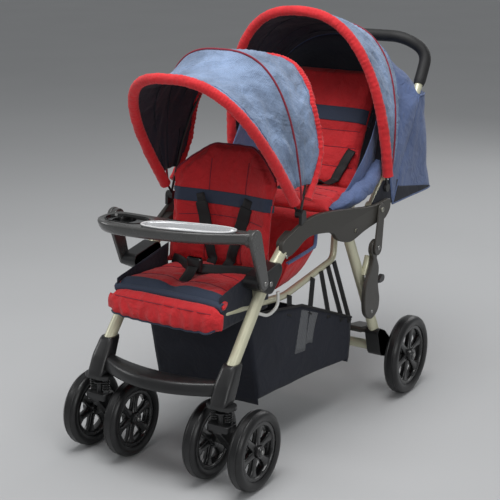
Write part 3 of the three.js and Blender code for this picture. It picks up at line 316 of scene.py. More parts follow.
def webbing(name, colour):
    """Woven polypropylene strap: ribs every 2 mm across its length, with a low sheen."""
    made, tree, place = start(name)
    fray = remap(tree, speckle(tree, place, 5, Detail=4.0), 0.0, 1.0, 0.75, 1.35)
    shader(tree, {"Base Color": mix(tree, colour, fray, blend="MULTIPLY"),
                  "Normal": bump(tree, stripes(tree, place, "Z", 2.2), 0.4, 0.5), "Roughness": 0.6})
    return made


def turned_steel(name, colour, roughness, metal=1.0):
    """Zinc-plated steel: rivets and axles, with turning marks and a dulled shine."""
    made, tree, place = start(name)
    marks = speckle(tree, place, 1.5, Detail=3.0)
    shader(tree, {"Base Color": colour, "Metallic": metal,
                  "Roughness": remap(tree, marks, 0.3, 0.7, roughness - 0.08, roughness + 0.1)})
    return made


def material(finish):
    """The material of a finish, made once."""
    if finish not in made_materials:
        slot, recipe, name, colour, settings = FINISHES[finish]
        if colour.startswith("#"):
            colour = linear(colour)
        else:
            colour = getattr(colours(), colour)[:]
        made_materials[finish] = recipe(name, colour, **settings)
    return made_materials[finish]


# For each finish: its slot, the recipe and name of its material, a colour property or sRGB hex, and the settings
FINISHES = {
    "red_polyester": ("red_fabric", woven, "red_polyester_cloth", "red",
                      {"shade": (0.85, 1.12), "puckers": 2.2, "crease_mm": 40, "patchy": 0.14}),
    # The edging is a paler copy of the seat's red: painted light, as on cloth that faces the lamps.
    "red_edging": ("red_fabric", woven, "red_gathered_edging", "red",
                   {"shade": (0.95, 1.25), "puckers": 0.7, "crease_mm": 12, "patchy": 0.14}),
    "burgundy_piping": ("red_fabric", woven, "burgundy_piping_cloth", "#6d1225",
                        {"second": linear("#8f1d33"), "puckers": 0.2}),
    "chambray": ("blue_fabric", woven, "chambray_cloth", "chambray",
                 {"shade": (0.5, 1.4), "thread_mm": 3.0, "puckers": 2.8, "crease_mm": 46, "patchy": 0.4}),
    "denim": ("denim_fabric", woven, "denim_cloth", "denim",
              {"shade": (0.58, 1.02), "thread_mm": 2.6, "puckers": 1.6, "patchy": 0.16}),
    "navy_lining": ("navy_fabric", woven, "navy_lining_cloth", "navy",
                    {"shade": (0.8, 1.3), "sheen": 0.1, "crease_mm": 45}),
    "slate_band": ("navy_fabric", woven, "slate_twill_band", "slate",
                   {"shade": (0.85, 1.15), "sheen": 0.1, "puckers": 0.3}),
    "basket_cloth": ("navy_fabric", woven, "coated_basket_cloth", "navy",
                     {"shade": (0.55, 1.0), "sheen": 0.05, "puckers": 1.2, "crease_mm": 60}),
    "basket_net": ("navy_fabric", netting, "warp_knit_netting", "#2c2f34", {"gap": linear("#85878a")}),
    "strap": ("navy_fabric", webbing, "black_webbing", "#141416", {}),
    "tube_paint": ("cream_tube", painted_tube, "cream_powder_coat", "paint", {}),
    "white_wire": ("cream_tube", painted_tube, "white_coated_wire", "#e6e6e2", {}),
    "grey_moulding": ("grey_plastic", moulded, "grained_grey_polypropylene", "moulding",
                      {"roughness": 0.42, "coat": 0.1}),
    "tray_moulding": ("grey_plastic", moulded, "satin_grey_polypropylene", "#454544",
                      {"roughness": 0.24, "grain": 0.12, "coat": 0.4}),
    # The cup recess's black gloss is painted shade, standing in for the shade in the hollow.
    "black_gloss": ("black_plastic", moulded, "polished_black_abs", "#0e0e0f",
                    {"roughness": 0.14, "grain": 0.05, "coat": 0.5}),
    "black_moulding": ("black_plastic", moulded, "grained_black_nylon", "#19191a", {"roughness": 0.36, "coat": 0.15}),
    "wheel_moulding": ("black_plastic", moulded, "gloss_black_nylon", "#121213",
                       {"roughness": 0.26, "grain": 0.1, "coat": 0.4}),
    "dish": ("dish_plastic", turned_steel, "metallised_silver_abs", "#d8dadc", {"roughness": 0.2, "metal": 0.4}),
    "rim": ("dish_plastic", moulded, "polished_white_abs", "#e4e5e6",
            {"roughness": 0.2, "grain": 0.05, "coat": 0.5, "wear": 0.0}),
    "tyre": ("tyre", celled, "moulded_tyre_rubber", "#141415", {"cell_mm": 1.4, "roughness": 0.32, "depth_mm": 0.3}),
    "foam": ("grip_foam", celled, "closed_cell_foam", "#151516", {"cell_mm": 1.6, "roughness": 0.6}),
    "rivet": ("axle_steel", turned_steel, "zinc_plated_steel", "#9a9a98", {"roughness": 0.35}),
    "spring": ("spring_steel", moulded, "black_coated_spring_wire", "#151516",
               {"roughness": 0.3, "grain": 0.05, "coat": 0.4}),
}


# Mesh helpers

# How far off a surface a ray starts, in metres
DROP = 0.2


def linked(made):
    bpy.context.scene.collection.objects.link(made)
    return made


def clean_mesh(name, points, faces, merge=True):
    """A mesh with doubled points merged and its faces turned outward."""
    mesh = bpy.data.meshes.new(name)
    mesh.from_pydata([tuple(p) for p in points], [], faces)
    work = bmesh.new()
    work.from_mesh(mesh)
    if merge:
        bmesh.ops.remove_doubles(work, verts=work.verts, dist=1e-6)
    bmesh.ops.recalc_face_normals(work, faces=work.faces)
    work.to_mesh(mesh)
    work.free()
    return mesh


def piece(name, points, faces, finish, body, replaces=(), sharp=38):
    """A mesh object in its finish. body is the name of what it rides on; two bodies and two points given instead are
    not used, and the piece stays where it is.
    """
    mesh = clean_mesh(name, points, faces)
    mesh.shade_smooth()
    mesh.set_sharp_from_angle(angle=radians(sharp))
    mesh.materials.append(material(finish))
    made = linked(bpy.data.objects.new(name, mesh))
    if isinstance(body, str):
        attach(made, body)
    else:
        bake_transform(made)
    if replaces:
        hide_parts(*replaces)
    return made


def round_edges(made, width_mm, segments=3, angle=35):
    bevel = made.modifiers.new("rounded edges", "BEVEL")
    bevel.width, bevel.segments = width_mm / 1000, segments
    bevel.limit_method, bevel.angle_limit = "ANGLE", radians(angle)
    bevel.harden_normals = True
    return made


def quads(rows, columns, wrap=False):
    faces = []
    for row in range(rows - 1):
        for column in range(columns if wrap else columns - 1):
            after = (column + 1) % columns
            faces.append((row * columns + column, row * columns + after,
                          (row + 1) * columns + after, (row + 1) * columns + column))
    return faces


def solidify(made, thickness_mm):
    solid_skin = made.modifiers.new("cloth thickness", "SOLIDIFY")
    solid_skin.thickness = thickness_mm / 1000
    solid_skin.offset = 0


def cloth_sheet(name, grid, finish, body, thickness_mm=1.2, replaces=()):
    """A sheet of cloth through a grid of points, given a thickness."""
    rows, columns = len(grid), len(grid[0])
    made = piece(name, [p for row in grid for p in row], quads(rows, columns), finish, body, replaces, 60)
    solidify(made, thickness_mm)
    return made


def smooth_path(corners, per=8, closed=False):
    """A Catmull-Rom curve through the corners."""
    count = len(corners)
    path = []
    for i in range(count if closed else count - 1):
        if closed:
            a, b, c, d = (corners[(i + k) % count] for k in (-1, 0, 1, 2))
        else:
            a, b, c, d = (corners[min(max(i + k, 0), count - 1)] for k in (-1, 0, 1, 2))
        for step in range(per):
            t = step / per
            path.append(0.5 * ((2 * b) + (c - a) * t + (2 * a - 5 * b + 4 * c - d) * t * t
                               + (3 * b - a - 3 * c + d) * t * t * t))
    if not closed:
        path.append(corners[-1].copy())
    return path


def bent_path(corners, bends, steps=8):
    """Straight runs with a rounded bend at each inner corner; bends are in millimetres."""
    path = [corners[0]]
    for i in range(1, len(corners) - 1):
        bend = (bends[i - 1] if isinstance(bends, (list, tuple)) else bends) / 1000
        first = corners[i] + (corners[i - 1] - corners[i]).normalized() * bend
        last = corners[i] + (corners[i + 1] - corners[i]).normalized() * bend
        for step in range(steps + 1):
            t = step / steps
            path.append(first * (1 - t) ** 2 + corners[i] * 2 * t * (1 - t) + last * t * t)
    path.append(corners[-1])
    return path


def tube_mesh(path, radius, sides=20, closed=False):
    """Points and faces of a tube. radius is metres, or a function of the share along it and the turn round it."""
    count = len(path)
    points = []
    normal = None
    for i, here in enumerate(path):
        before = path[(i - 1) % count] if closed or i > 0 else here
        after = path[(i + 1) % count] if closed or i < count - 1 else here
        tangent = (after - before).normalized()
        if normal is None:
            normal = tangent.orthogonal()
        normal = (normal - tangent * normal.dot(tangent)).normalized()
        side = tangent.cross(normal)
        for step in range(sides):
            turn = 2 * pi * step / sides
            reach = radius(i / (count - 1), turn) if callable(radius) else radius
            points.append(here + normal * (cos(turn) * reach) + side * (sin(turn) * reach))
    faces = quads(count, sides, wrap=True)
    if closed:
        faces += [((count - 1) * sides + k, (count - 1) * sides + (k + 1) % sides, (k + 1) % sides, k)
                  for k in range(sides)]
    else:
        faces += [tuple(range(sides)), tuple(range((count - 1) * sides, count * sides))]
    return points, faces


def tube(name, path, radius, finish, body, sides=20, closed=False, replaces=()):
    return piece(name, *tube_mesh(path, radius, sides, closed), finish, body, replaces, 50)


def gather(parts):
    """Joins lists of points and faces."""
    points, faces = [], []
    for some, more in parts:
        base = len(points)
        points += some
        faces += [tuple(i + base for i in face) for face in more]
    return points, faces


def solid(name, parts, finish, body, replaces=(), sharp=40):
    """One piece of several lists of points and faces."""
    return piece(name, *gather(parts), finish, body, replaces, sharp)


def belt(circles, count=24):
    """The taut outline round circles given as (across, up, radius)."""
    dots = sorted({(round(a + r * cos(2 * pi * k / count), 4), round(b + r * sin(2 * pi * k / count), 4))
                   for a, b, r in circles for k in range(count)})

    def half(dots):
        chain = []
        for dot in dots:
            while len(chain) > 1 and ((chain[-1][0] - chain[-2][0]) * (dot[1] - chain[-2][1])
                                      - (chain[-1][1] - chain[-2][1]) * (dot[0] - chain[-2][0])) <= 1e-6:
                chain.pop()
            chain.append(dot)
        return chain[:-1]

    return half(dots) + half(dots[::-1])


def plate_mesh(outline, near, far, outward=lambda y: 0.0):
    """A plate with a side outline in y and z, between two distances from the middle."""
    count = len(outline)
    points = [at(near + copysign(outward(y), near), y, z) for y, z in outline]
    points += [at(far + copysign(outward(y), near), y, z) for y, z in outline]
    faces = [tuple(range(count)), tuple(range(2 * count - 1, count - 1, -1))]
    faces += [(k, (k + 1) % count, (k + 1) % count + count, k + count) for k in range(count)]
    return points, faces


def disc_mesh(profile, centre, steps=40, axis="X", side=1):
    """A turned form: profile is (along, radius) in millimetres from the centre, closed at both ends."""
    x, y, z = centre
    points = []
    for along, radius in profile:
        for k in range(steps):
            one, other = radius * cos(2 * pi * k / steps), radius * sin(2 * pi * k / steps)
            points.append(at(x + side * along, y + one, z + other) if axis == "X" else
                          at(x + one, y + other, z + along))
    faces = quads(len(profile), steps, wrap=True)
    faces += [tuple(range(steps)), tuple(range((len(profile) - 1) * steps, len(profile) * steps))]
    return points, faces


def rivet(name, x, y, z, radius, side, body, finish="rivet"):
    """A domed rivet head standing on a side face."""
    dome = [(0, 1), (0.18, 1), (0.38, 0.86), (0.52, 0.6), (0.58, 0.3), (0.6, 0.05)]
    profile = [(radius * along, radius * out) for along, out in dome]
    return piece(name, *disc_mesh(profile, (x, y, z), 24, side=side), finish, body)


def carve(made, cutter):
    """Cuts one mesh out of another and keeps only the result."""
    cut = made.modifiers.new("recess", "BOOLEAN")
    cut.operation, cut.solver, cut.object = "DIFFERENCE", "EXACT", cutter
    graph = bpy.context.evaluated_depsgraph_get()
    result = bpy.data.meshes.new_from_object(made.evaluated_get(graph))
    made.modifiers.clear()
    made.data = result
    bpy.data.objects.remove(cutter)


def surface_of(made):
    """A search tree over a piece as it shows, with its modifiers."""
    graph = bpy.context.evaluated_depsgraph_get()
    return BVHTree.FromObject(made, graph)


def laid(points, tree, way, lift_mm):
    """Points dropped along a direction on to a surface, and lifted off it by a little."""
    found = [tree.ray_cast(point - way * DROP, way, DROP * 2)[0] or point for point in points]
    return [place - way * (lift_mm / 1000) for place in found]


def hugged(points, tree, lift_mm):
    """Points moved to the nearest place on a surface, and lifted off it by a little."""
    return [place + normal * (lift_mm / 1000) for place, normal, *rest in map(tree.find_nearest, points)]


def plate(name, outline, side, near, far, finish, body, replaces=(), rounding=2.0, outward=lambda y: 0.0):
    """A moulded plate that stands on its side, with rounded edges."""
    return round_edges(piece(name, *plate_mesh(outline, side * near, side * far, outward), finish, body, replaces),
                       rounding)


def loft_mesh(rings):
    points = [p for ring in rings for p in ring]
    size = len(rings[0])
    faces = quads(len(rings), size, wrap=True)
    return points, faces + [tuple(range(size)), tuple(range((len(rings) - 1) * size, len(rings) * size))]


def rounded_ring(x, y, z, width, depth, corner, steps=6):
    ring = []
    for sign_x, sign_y, start in ((1, 1, 0), (-1, 1, 1), (-1, -1, 2), (1, -1, 3)):
        for step in range(steps + 1):
            turn = pi / 2 * (start + step / steps)
            ring.append(at(x + sign_x * (width / 2 - corner) + corner * cos(turn),
                           y + sign_y * (depth / 2 - corner) + corner * sin(turn), z))
    return ring


def ring_mesh(profile, centre, steps=64):
    """A turned ring: the profile of (along, radius) closes on itself."""
    points, faces = disc_mesh(profile, centre, steps)
    faces = faces[:-2]
    last = (len(profile) - 1) * steps
    faces += [(last + k, last + (k + 1) % steps, (k + 1) % steps, k) for k in range(steps)]
    return points, faces


def outline_through(corners, per=6):
    """A smooth closed outline through corners given as pairs."""
    return [(p[0], p[1]) for p in smooth_path([Vector((a, b, 0)) for a, b in corners], per, closed=True)]


# Measures shared by several pieces

# The (y, z) of the frame's pivots and axles, and the casters' x and y
HUB_PIVOT = (140, 450)
LEG_PIVOT = (498, 503)
HANDLE_PIVOT = (600, 539)
HOOD_PIVOT = (652, 585)
KNEE_PIVOT = (585, 440)
TRAY_PIVOT = (98, 463)
TRAY_CORNER = (62, 576)
REAR_AXLE = (726, 107.5)
REAR_FOOT = (650, 169.2)
CASTER_X, CASTER_Y = 177, -42
FRONT_AXLE_Z = 95
# How square a pad's outline is, how steeply its edge rises, and how far its sides draw in
PAD_SQUARE, PAD_EDGE, PAD_WAIST = 5, 0.36, 0.045
ARM = {"outer": 190, "front": 201, "length": 449, "bottom": 479.6, "depth": 96.5, "flare": 60}
FRONT_HOOPS = {"pivot": (282, 587), "bow": (183.3, 422, 127.4), "middle": (379, 98), "hem": (190, 366, 70),
               "power": 2.8, "sags": (44, 6), "lift": 4.5, "belly": 36}
REAR_HOOPS = {"pivot": HOOD_PIVOT, "bow": (236, 450, 98.4), "middle": (417, 74), "hem": (230, 409, 64),
              "power": 2.5, "sags": (7, 7), "lift": 3.7, "belly": 0}
FRONT_CUSHION = {"half": 147, "y": -3, "z": 406.2, "length": 206, "thickness": 38, "crown": 0.25, "taper": 0.1,
                 "arch": 46}
FRONT_BACK = {"half": 152, "y": 211, "z": 434.5, "length": 232, "lean": 80, "thickness": 30, "crown": 0.2,
              "arch": 84, "hollow": 48, "shoulder": 0.3}
CALF_PAD = {"half": 174, "y": -9.4, "z": 356, "length": 73, "lean": 82, "thickness": 22, "crown": 0.5,
            "round": (0.1, 0.62)}
REAR_CUSHION = {"half": 176, "y": 446, "z": 537.4, "length": 194, "thickness": 40, "crown": 0.25}
REAR_BACK = {"half": 148, "y": 651.2, "z": 553.2, "length": 339, "lean": 62, "thickness": 30, "crown": 0.2,
             "arch": 10}
SEAM_WIDTH = 8
# How far a seam's pull reaches, in metres for each millimetre of its width
SEAM_REACH = 0.0035
LAP_WAY = Vector((0, 0.5, 1))
CANOPY_EDGE_MM = 1150
LAMPS_AIM = Vector((0, 0, 0.5))
CAMERA_AIM = Vector((0.021, -0.1195, 0.462))
CAMERA_DISTANCE = 3.1384



def arm_outer(y):
    return ARM["outer"] + ARM["flare"] * (y - ARM["front"]) / ARM["length"]


def build_stage():
    scene = bpy.context.scene
    scene.view_settings.view_transform = "Standard"
    mesh = bpy.data.meshes.new("studio_floor")
    mesh.from_pydata([(-40, -40, 0), (40, -40, 0), (40, 40, 0), (-40, 40, 0)], [], [(0, 1, 2, 3)])
    paper, tree, place = start("matt_studio_paper")
    fibre = node(tree, "TexNoise", {"Scale": 1.2, "Detail": 2.0, "Vector": place}).outputs["Fac"]
    shader(tree, {"Base Color": ramp(tree, fibre, (0, linear("#b9babb")), (1, linear("#c0c1c2"))),
                  "Roughness": 0.9, "Specular IOR Level": 0.2})
    mesh.materials.append(paper)
    linked(bpy.data.objects.new("studio_floor", mesh))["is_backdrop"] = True

    world = bpy.data.worlds.new("studio")
    world.use_nodes = True
    world.node_tree.nodes["Background"].inputs["Color"].default_value = linear("#e6e8ea")
    world.node_tree.nodes["Background"].inputs["Strength"].default_value = 0.36
    scene.world = world
    for name, place, watts, width in (("softbox_above", (0.2, -0.6, 3.2), 70, 2.0),
                                      ("softbox_left", (3.0, -2.0, 1.6), 19, 1.4),
                                      ("softbox_right", (-3.0, -1.4, 1.8), 16, 1.2),
                                      ("softbox_behind", (0.4, 3.2, 2.2), 26, 2.2)):
        light = bpy.data.lights.new(name, "AREA")
        light.energy, light.size = watts, width
        lamp = linked(bpy.data.objects.new(name, light))
        lamp.location = place
        lamp.rotation_euler = (LAMPS_AIM - Vector(place)).to_track_quat("-Z", "Y").to_euler()

    lens = bpy.data.cameras.new("camera")
    lens.lens, lens.sensor_width, lens.sensor_fit = 89.92, 36, "HORIZONTAL"
    azimuth, elevation = radians(32.4), radians(15.9)
    back = Vector((sin(azimuth) * cos(elevation), -cos(azimuth) * cos(elevation), sin(elevation)))
    scene.camera = linked(bpy.data.objects.new("camera", lens))
    scene.camera.location = CAMERA_AIM + back * CAMERA_DISTANCE
    scene.camera.rotation_euler = (-back).to_track_quat("-Z", "Y").to_euler()


def build_wheels():
    def spoke(x, y, radius, hub, rim_inside, turn):
        radial = (cos(turn), sin(turn))
        rings = []
        for share in spread(0, 1, 8):
            reach = between(hub - 3, rim_inside + 1.5, share)
            flare = abs(2 * share - 1) ** 2.2
            wide = 8.6 + 7 * flare * (1.5 if share > 0.5 else 0.3)
            deep = 8 + 2.6 * flare
            ring = []
            for k in range(16):
                a = 2 * pi * k / 16
                across, out = blunt(cos(a), 0.6) * wide, blunt(sin(a), 0.6) * deep
                ring.append(at(x + out, y + radial[0] * reach - radial[1] * across,
                               radius + radial[1] * reach + radial[0] * across))
            rings.append(ring)
        return loft_mesh(rings)

    def wheel(end, name, x, y, size, side):
        radius, width, rim, hub, hub_width = size
        half = width / 2
        centre = (x, y, radius)
        body = f"{end}_wheel_{name}"
        tread = [(-half + 5, rim + 0.3), (-half + 1.2, rim + 5), (-half, (rim + radius) / 2), (-half + 1, radius - 8),
                 (-half + 4, radius - 3.2), (-half * 0.5, radius - 0.4), (-half * 0.42, radius - 1.6),
                 (-half * 0.34, radius - 0.2), (0, radius)]
        tread += [(-a, r) for a, r in tread[-2::-1]]
        piece(f"tyre_{end}_{name}", *ring_mesh(tread, centre, 72), "tyre", body, (f"{end}_tyre_{name}",))
        inside = rim - 9.5
        ring = [(-12.5, rim), (-13.2, rim - 1.5), (-12.8, inside + 1), (-10.5, inside - 1), (0, inside - 2.2)]
        ring += [(-a, r) for a, r in ring[-2::-1]]
        face = hub_width / 2
        nave = [(-face, 6), (-face, hub * 0.8), (-face + 2, hub), (face - 5, hub), (face - 2, hub * 0.9),
                (face - 1.4, hub * 0.72), (face + 0.6, hub * 0.66), (face + 1.6, hub * 0.45), (face + 2, 1)]
        spokes = [spoke(x, y, radius, hub, inside, 2 * pi * (number + 0.25) / 6) for number in range(6)]
        solid(f"rim_{end}_{name}", [ring_mesh(ring, centre, 72), disc_mesh(nave, centre, 40, side=side), *spokes],
              "wheel_moulding", body, (f"{end}_rim_{name}",), 38)
        rivet(f"hub_cap_{end}_{name}", x + side * (face + 1.4), y, radius, 5.5, side, body)

    for name, side in SIDES:
        for row, offset in (("outer", side), ("inner", -side)):
            wheel("front", f"{name}_{row}", side * CASTER_X + offset * 62, 0, (FRONT_AXLE_Z, 38, 71, 16, 40), offset)
        wheel("rear", name, side * 274, REAR_AXLE[0], (REAR_AXLE[1], 39, 82, 18, 44), side)


def build_casters():
    for name, side in SIDES:
        x = side * CASTER_X
        for row, offset in (("outer", side), ("inner", -side)):
            middle = x + offset * 18.6
            curl = [at(middle + 8 * cos(2 * pi * step / 24), CASTER_Y + 8 * sin(2 * pi * step / 24),
                       between(168.7, 199, step / 120)) for step in range(121)]
            path = [at(middle + 8, CASTER_Y, 165.3), *curl, at(middle + 8, CASTER_Y, 202.4)]
            spring = tube(f"caster_spring_{name}_{row}", path, 0.0017, "spring", f"caster_{name}", 10,
                          replaces=(f"spring_{name}_{row}",))
            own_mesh(spring)
        rings = [rounded_ring(x, CASTER_Y, z, width, depth, corner) for z, width, depth, corner in (
            (148, 58, 38, 9), (150, 62, 42, 11), (160, 62, 42, 11), (165, 60, 40, 10))]
        round_edges(piece(f"caster_head_{name}", *loft_mesh(rings), "black_moulding", f"fork_{name}"), 1.5)
        blade = belt([(CASTER_Y - 10, 149, 10.5), (CASTER_Y + 10, 149, 10.5), (0, FRONT_AXLE_Z, 14)])
        plate(f"caster_blade_{name}", blade, 1, x - 13, x + 13, "black_moulding", f"fork_{name}",
              (f"caster_fork_{name}",), 3)
        for offset in (-1, 1):
            boss = disc_mesh([(0, 9), (2.5, 9), (4.2, 8), (4.8, 5), (5, 1)], (x + offset * 13, 0, FRONT_AXLE_Z), 32,
                             side=offset)
            piece(f"axle_boss_{name}_{'outer' if offset == side else 'inner'}", *boss, "black_moulding", f"fork_{name}")
        collar = disc_mesh([(-1.5, 12), (0.5, 15), (3.5, 15), (5.5, 12)], (x, CASTER_Y, 188), 32, axis="Z")
        piece(f"caster_collar_{name}", *collar, "black_moulding", f"caster_{name}")


def build_footrest():
    rows = []
    for share in spread(-1, 1, 40):
        front, back = -38 - 55 * (1 - share * share), -4 - 30 * (1 - share * share)
        section = []
        for k in range(28):
            across, up = blunt(cos(2 * pi * k / 28), 0.42), blunt(sin(2 * pi * k / 28), 0.55)
            section.append(at(share * 165, (front + back) / 2 + across * (back - front) / 2
                              + (3.5 * up if across < 0 else 0), 240 + 16 * up - (1.5 if across < 0 else 0)))
        rows.append(section)
    piece("footrest_bar", *loft_mesh(rows), "black_moulding", "front_legs", ("footrest",), 45)
    for name, side in SIDES:
        rings = []
        for share in spread(0, 1, 14):
            z = between(212, 294, share)
            if z < 255:
                y, width, depth = between(-42, -20, (z - 212) / 43), 46, 50
            else:
                y, width, depth = (between(low, high, (z - 255) / 39) for low, high in ((-20, 5), (46, 39), (50, 42)))
            ease = 1.5 if share in (0, 1) else 0
            rings.append(rounded_ring(side * 177.3, y, z, width - ease * 2, depth - ease * 2, 13 - ease))
        piece(f"leg_socket_{name}", *loft_mesh(rings), "black_moulding", "front_legs", (), 45)


def build_tubes():
    for name, side in SIDES:
        solid(f"front_leg_tube_{name}",
              [tube_mesh(straight(*run(side, (177.5, -20, 262), (177.5, *HUB_PIVOT))), 0.014, 32),
               disc_mesh([(-14.5, 16), (-13, 18), (13, 18), (14.5, 16)], (side * 177.5, *HUB_PIVOT))],
              "tube_paint", "front_legs", (f"front_leg_{name}",))
        pivot = (side * 199.5, *LEG_PIVOT)
        solid(f"rear_leg_tube_{name}",
              [tube_mesh(straight(*run(side, (218, *REAR_FOOT), (199.5, *LEG_PIVOT))), 0.014, 32),
               disc_mesh([(-14, 15), (-12.5, 17), (12.5, 17), (14, 15)], pivot),
               disc_mesh([(0, 6), (arm_outer(LEG_PIVOT[0]) - 199.5 + 2, 6)], pivot, 20, side=side)],
              "tube_paint", "rear_legs", (f"rear_leg_{name}",))
        tube(f"brace_stay_{name}", straight(*run(side, (222, 583, 415), (222, 562, 367))), 0.0095, "tube_paint",
             "brace_lower", 24)
    tube("rear_cross", [at(x, 658, 140) for x in (-198.7, -100, 0, 100, 198.7)], 0.013, "tube_paint", "rear_legs",
         32, replaces=("rear_cross_tube",))

    path = bent_path(both_sides((216, *HANDLE_PIVOT), (216, 866, 816), (216, 917, 908), (160, 896, 949)),
                     [60, 34, 42, 42, 34, 60], 12)
    parts = [tube_mesh(path, 0.011, 28)]
    for name, side in SIDES:
        pivot = (side * 216, *HANDLE_PIVOT)
        parts += [disc_mesh([(-11, 14), (-10, 16), (10, 16), (11, 14)], pivot, 32),
                  disc_mesh([(0, 11), (10.3, 11), (11, 10)], (side * 216, *HOOD_PIVOT), 28, side=side),
                  disc_mesh([(0, 6), (36.7, 6)], pivot, 20, side=side)]
    solid("handle_bend", parts, "tube_paint", "handle", ("handle_tube",))
    dense = []
    for one, other in zip(path, path[1:]):
        count = max(1, int((other - one).length / 0.008))
        dense += [one.lerp(other, k / count) for k in range(count)]

    def swell(share, turn):
        return 0.016 - 0.0022 * max(0, 1 - min(share, 1 - share) / 0.006)

    tube("foam_grip", [p for p in dense if p.z >= 0.821], swell, "foam", "handle", 28, replaces=("handle_grip",))

    corners = both_sides((141, 552, 515), (141, 540, 404), (141, 290, 371), (141, 6, 404))
    parts = [tube_mesh(bent_path(corners, 24, 10), 0.009, 24)]
    for name, side in SIDES:
        parts += [plate_mesh(belt([(146, 389, 13), (144, 450, 16)]), side * 150.7, side * 156.7),
                  disc_mesh([(0, 9), (14, 9)], (side * 137, 146, 389), 24, side=side)]
    round_edges(solid("front_seat_tubes", parts, "tube_paint", "frame", ("front_seat_frame",)), 0.8, 2)
    corners = both_sides((141, 640, 528), (141, 446, 528))
    solid("rear_seat_tubes", [tube_mesh(bent_path(corners, 22, 10), 0.009, 24),
                              tube_mesh([at(x, 520, 528) for x in (-218.6, -110, 0, 110, 218.6)], 0.009, 24)],
          "tube_paint", "frame", ("rear_seat_frame",))
    for name, side in SIDES:
        corners = run(side, (152, 128, 378), (160, 186, 352), (164, 224, 367), (164, 224, 404))
        tube(f"seat_wire_{name}", bent_path(corners, [18, 16], 8), 0.0042, "white_wire", "frame", 16)


def build_mouldings():
    # The arm's and the brace's outlines, in shares of their length and height
    arm = [(0.001, 0.389), (0.011, 0.562), (0.076, 0.708), (0.148, 0.849), (0.22, 0.947), (0.32, 1), (0.473, 0.954),
           (0.659, 0.856), (0.797, 0.777), (0.898, 0.781), (0.984, 0.832), (1, 0.761), (0.995, 0.533), (0.942, 0.297),
           (0.859, 0.255), (0.748, 0.149), (0.64, 0), (0.573, 0.008), (0.494, 0.148), (0.452, 0.344), (0.4, 0.432),
           (0.273, 0.495), (0.198, 0.437), (0.127, 0.263), (0.067, 0.156), (0.013, 0.201)]
    arm = outline_through([(ARM["front"] + a * ARM["length"], ARM["bottom"] + u * ARM["depth"]) for a, u in arm], 5)
    brace = outline_through([(between(527, 611, a), between(250, 462, u)) for a, u in (
        (0.55, 0), (0.9, 0.07), (1, 0.2), (0.93, 0.32), (0.86, 0.45), (0.9, 0.62), (0.8, 0.72), (0.75, 0.78),
        (0.95, 0.88), (0.88, 0.97), (0.66, 1), (0.44, 0.96), (0.38, 0.87), (0.5, 0.78), (0.46, 0.7), (0.3, 0.6),
        (0.08, 0.46), (0, 0.28), (0.06, 0.12), (0.27, 0.03))], 5)
    hub = belt([(*HUB_PIVOT, 24), (172, 474, 19), (*TRAY_PIVOT, 17)])
    bracket = belt([(*REAR_FOOT, 23), (658, 140, 23), (634, 188, 13), (*REAR_AXLE, 15)])
    for name, side in SIDES:
        plate(f"side_arm_{name}", arm, side, 177.5, 190, "grey_moulding", "frame", (f"arm_{name}",), 3.4,
              lambda y: arm_outer(y) - ARM["outer"])
        plate(f"arm_tip_{name}", belt([(230, 522, 17), (256, 532, 17)]), side, 163, 189, "grey_moulding", "frame",
              (), 3)
        tube(f"arm_stub_{name}", straight(*run(side, (177.5, 172, 474), (177.5, 226, 515))), 0.0145, "tube_paint",
             "frame", 32)
        plate(f"side_hub_{name}", hub, side, 157, 195.5, "black_moulding", "frame", (), 3)
        parts = [plate_mesh(bracket, side * 199, side * 238),
                 disc_mesh([(0, 12), (8, 11), (9, 9)], (side * 238, *REAR_AXLE), 32, side=side)]
        round_edges(solid(f"wheel_bracket_{name}", parts, "black_moulding", "rear_legs", (), 38), 3.5)
        plate(f"brace_link_{name}", belt([(*HANDLE_PIVOT, 16), (*KNEE_PIVOT, 20)]), side, 245.5, 250.7, "grey_moulding",
              "brace_upper", (f"brace_upper_{name}",), 1.6)
        plate(f"brace_hook_{name}", brace, side, 232.5, 245, "grey_moulding", "brace_lower",
              (f"brace_lower_{name}",), 2.6)
        for label, x, pivot, radius, body, finish in (
                ("front", arm_outer(216), (216, 497), 5, "frame", "rivet"),
                ("leg", arm_outer(LEG_PIVOT[0]) + 0.5, LEG_PIVOT, 6.5, "frame", "grey_moulding"),
                ("handle", 250.5, HANDLE_PIVOT, 6, "brace_upper", "rivet"),
                ("knee", 250.5, KNEE_PIVOT, 6, "brace_upper", "rivet"),
                ("hook", 244.8, (566, 270), 5, "brace_lower", "rivet"),
                ("hub", 195.3, HUB_PIVOT, 6.5, "frame", "rivet"),
                ("tray", 206.6, TRAY_PIVOT, 6, "tray", "rivet")):
            rivet(f"rivet_{label}_{name}", side * x, *pivot, radius, side, body, finish)


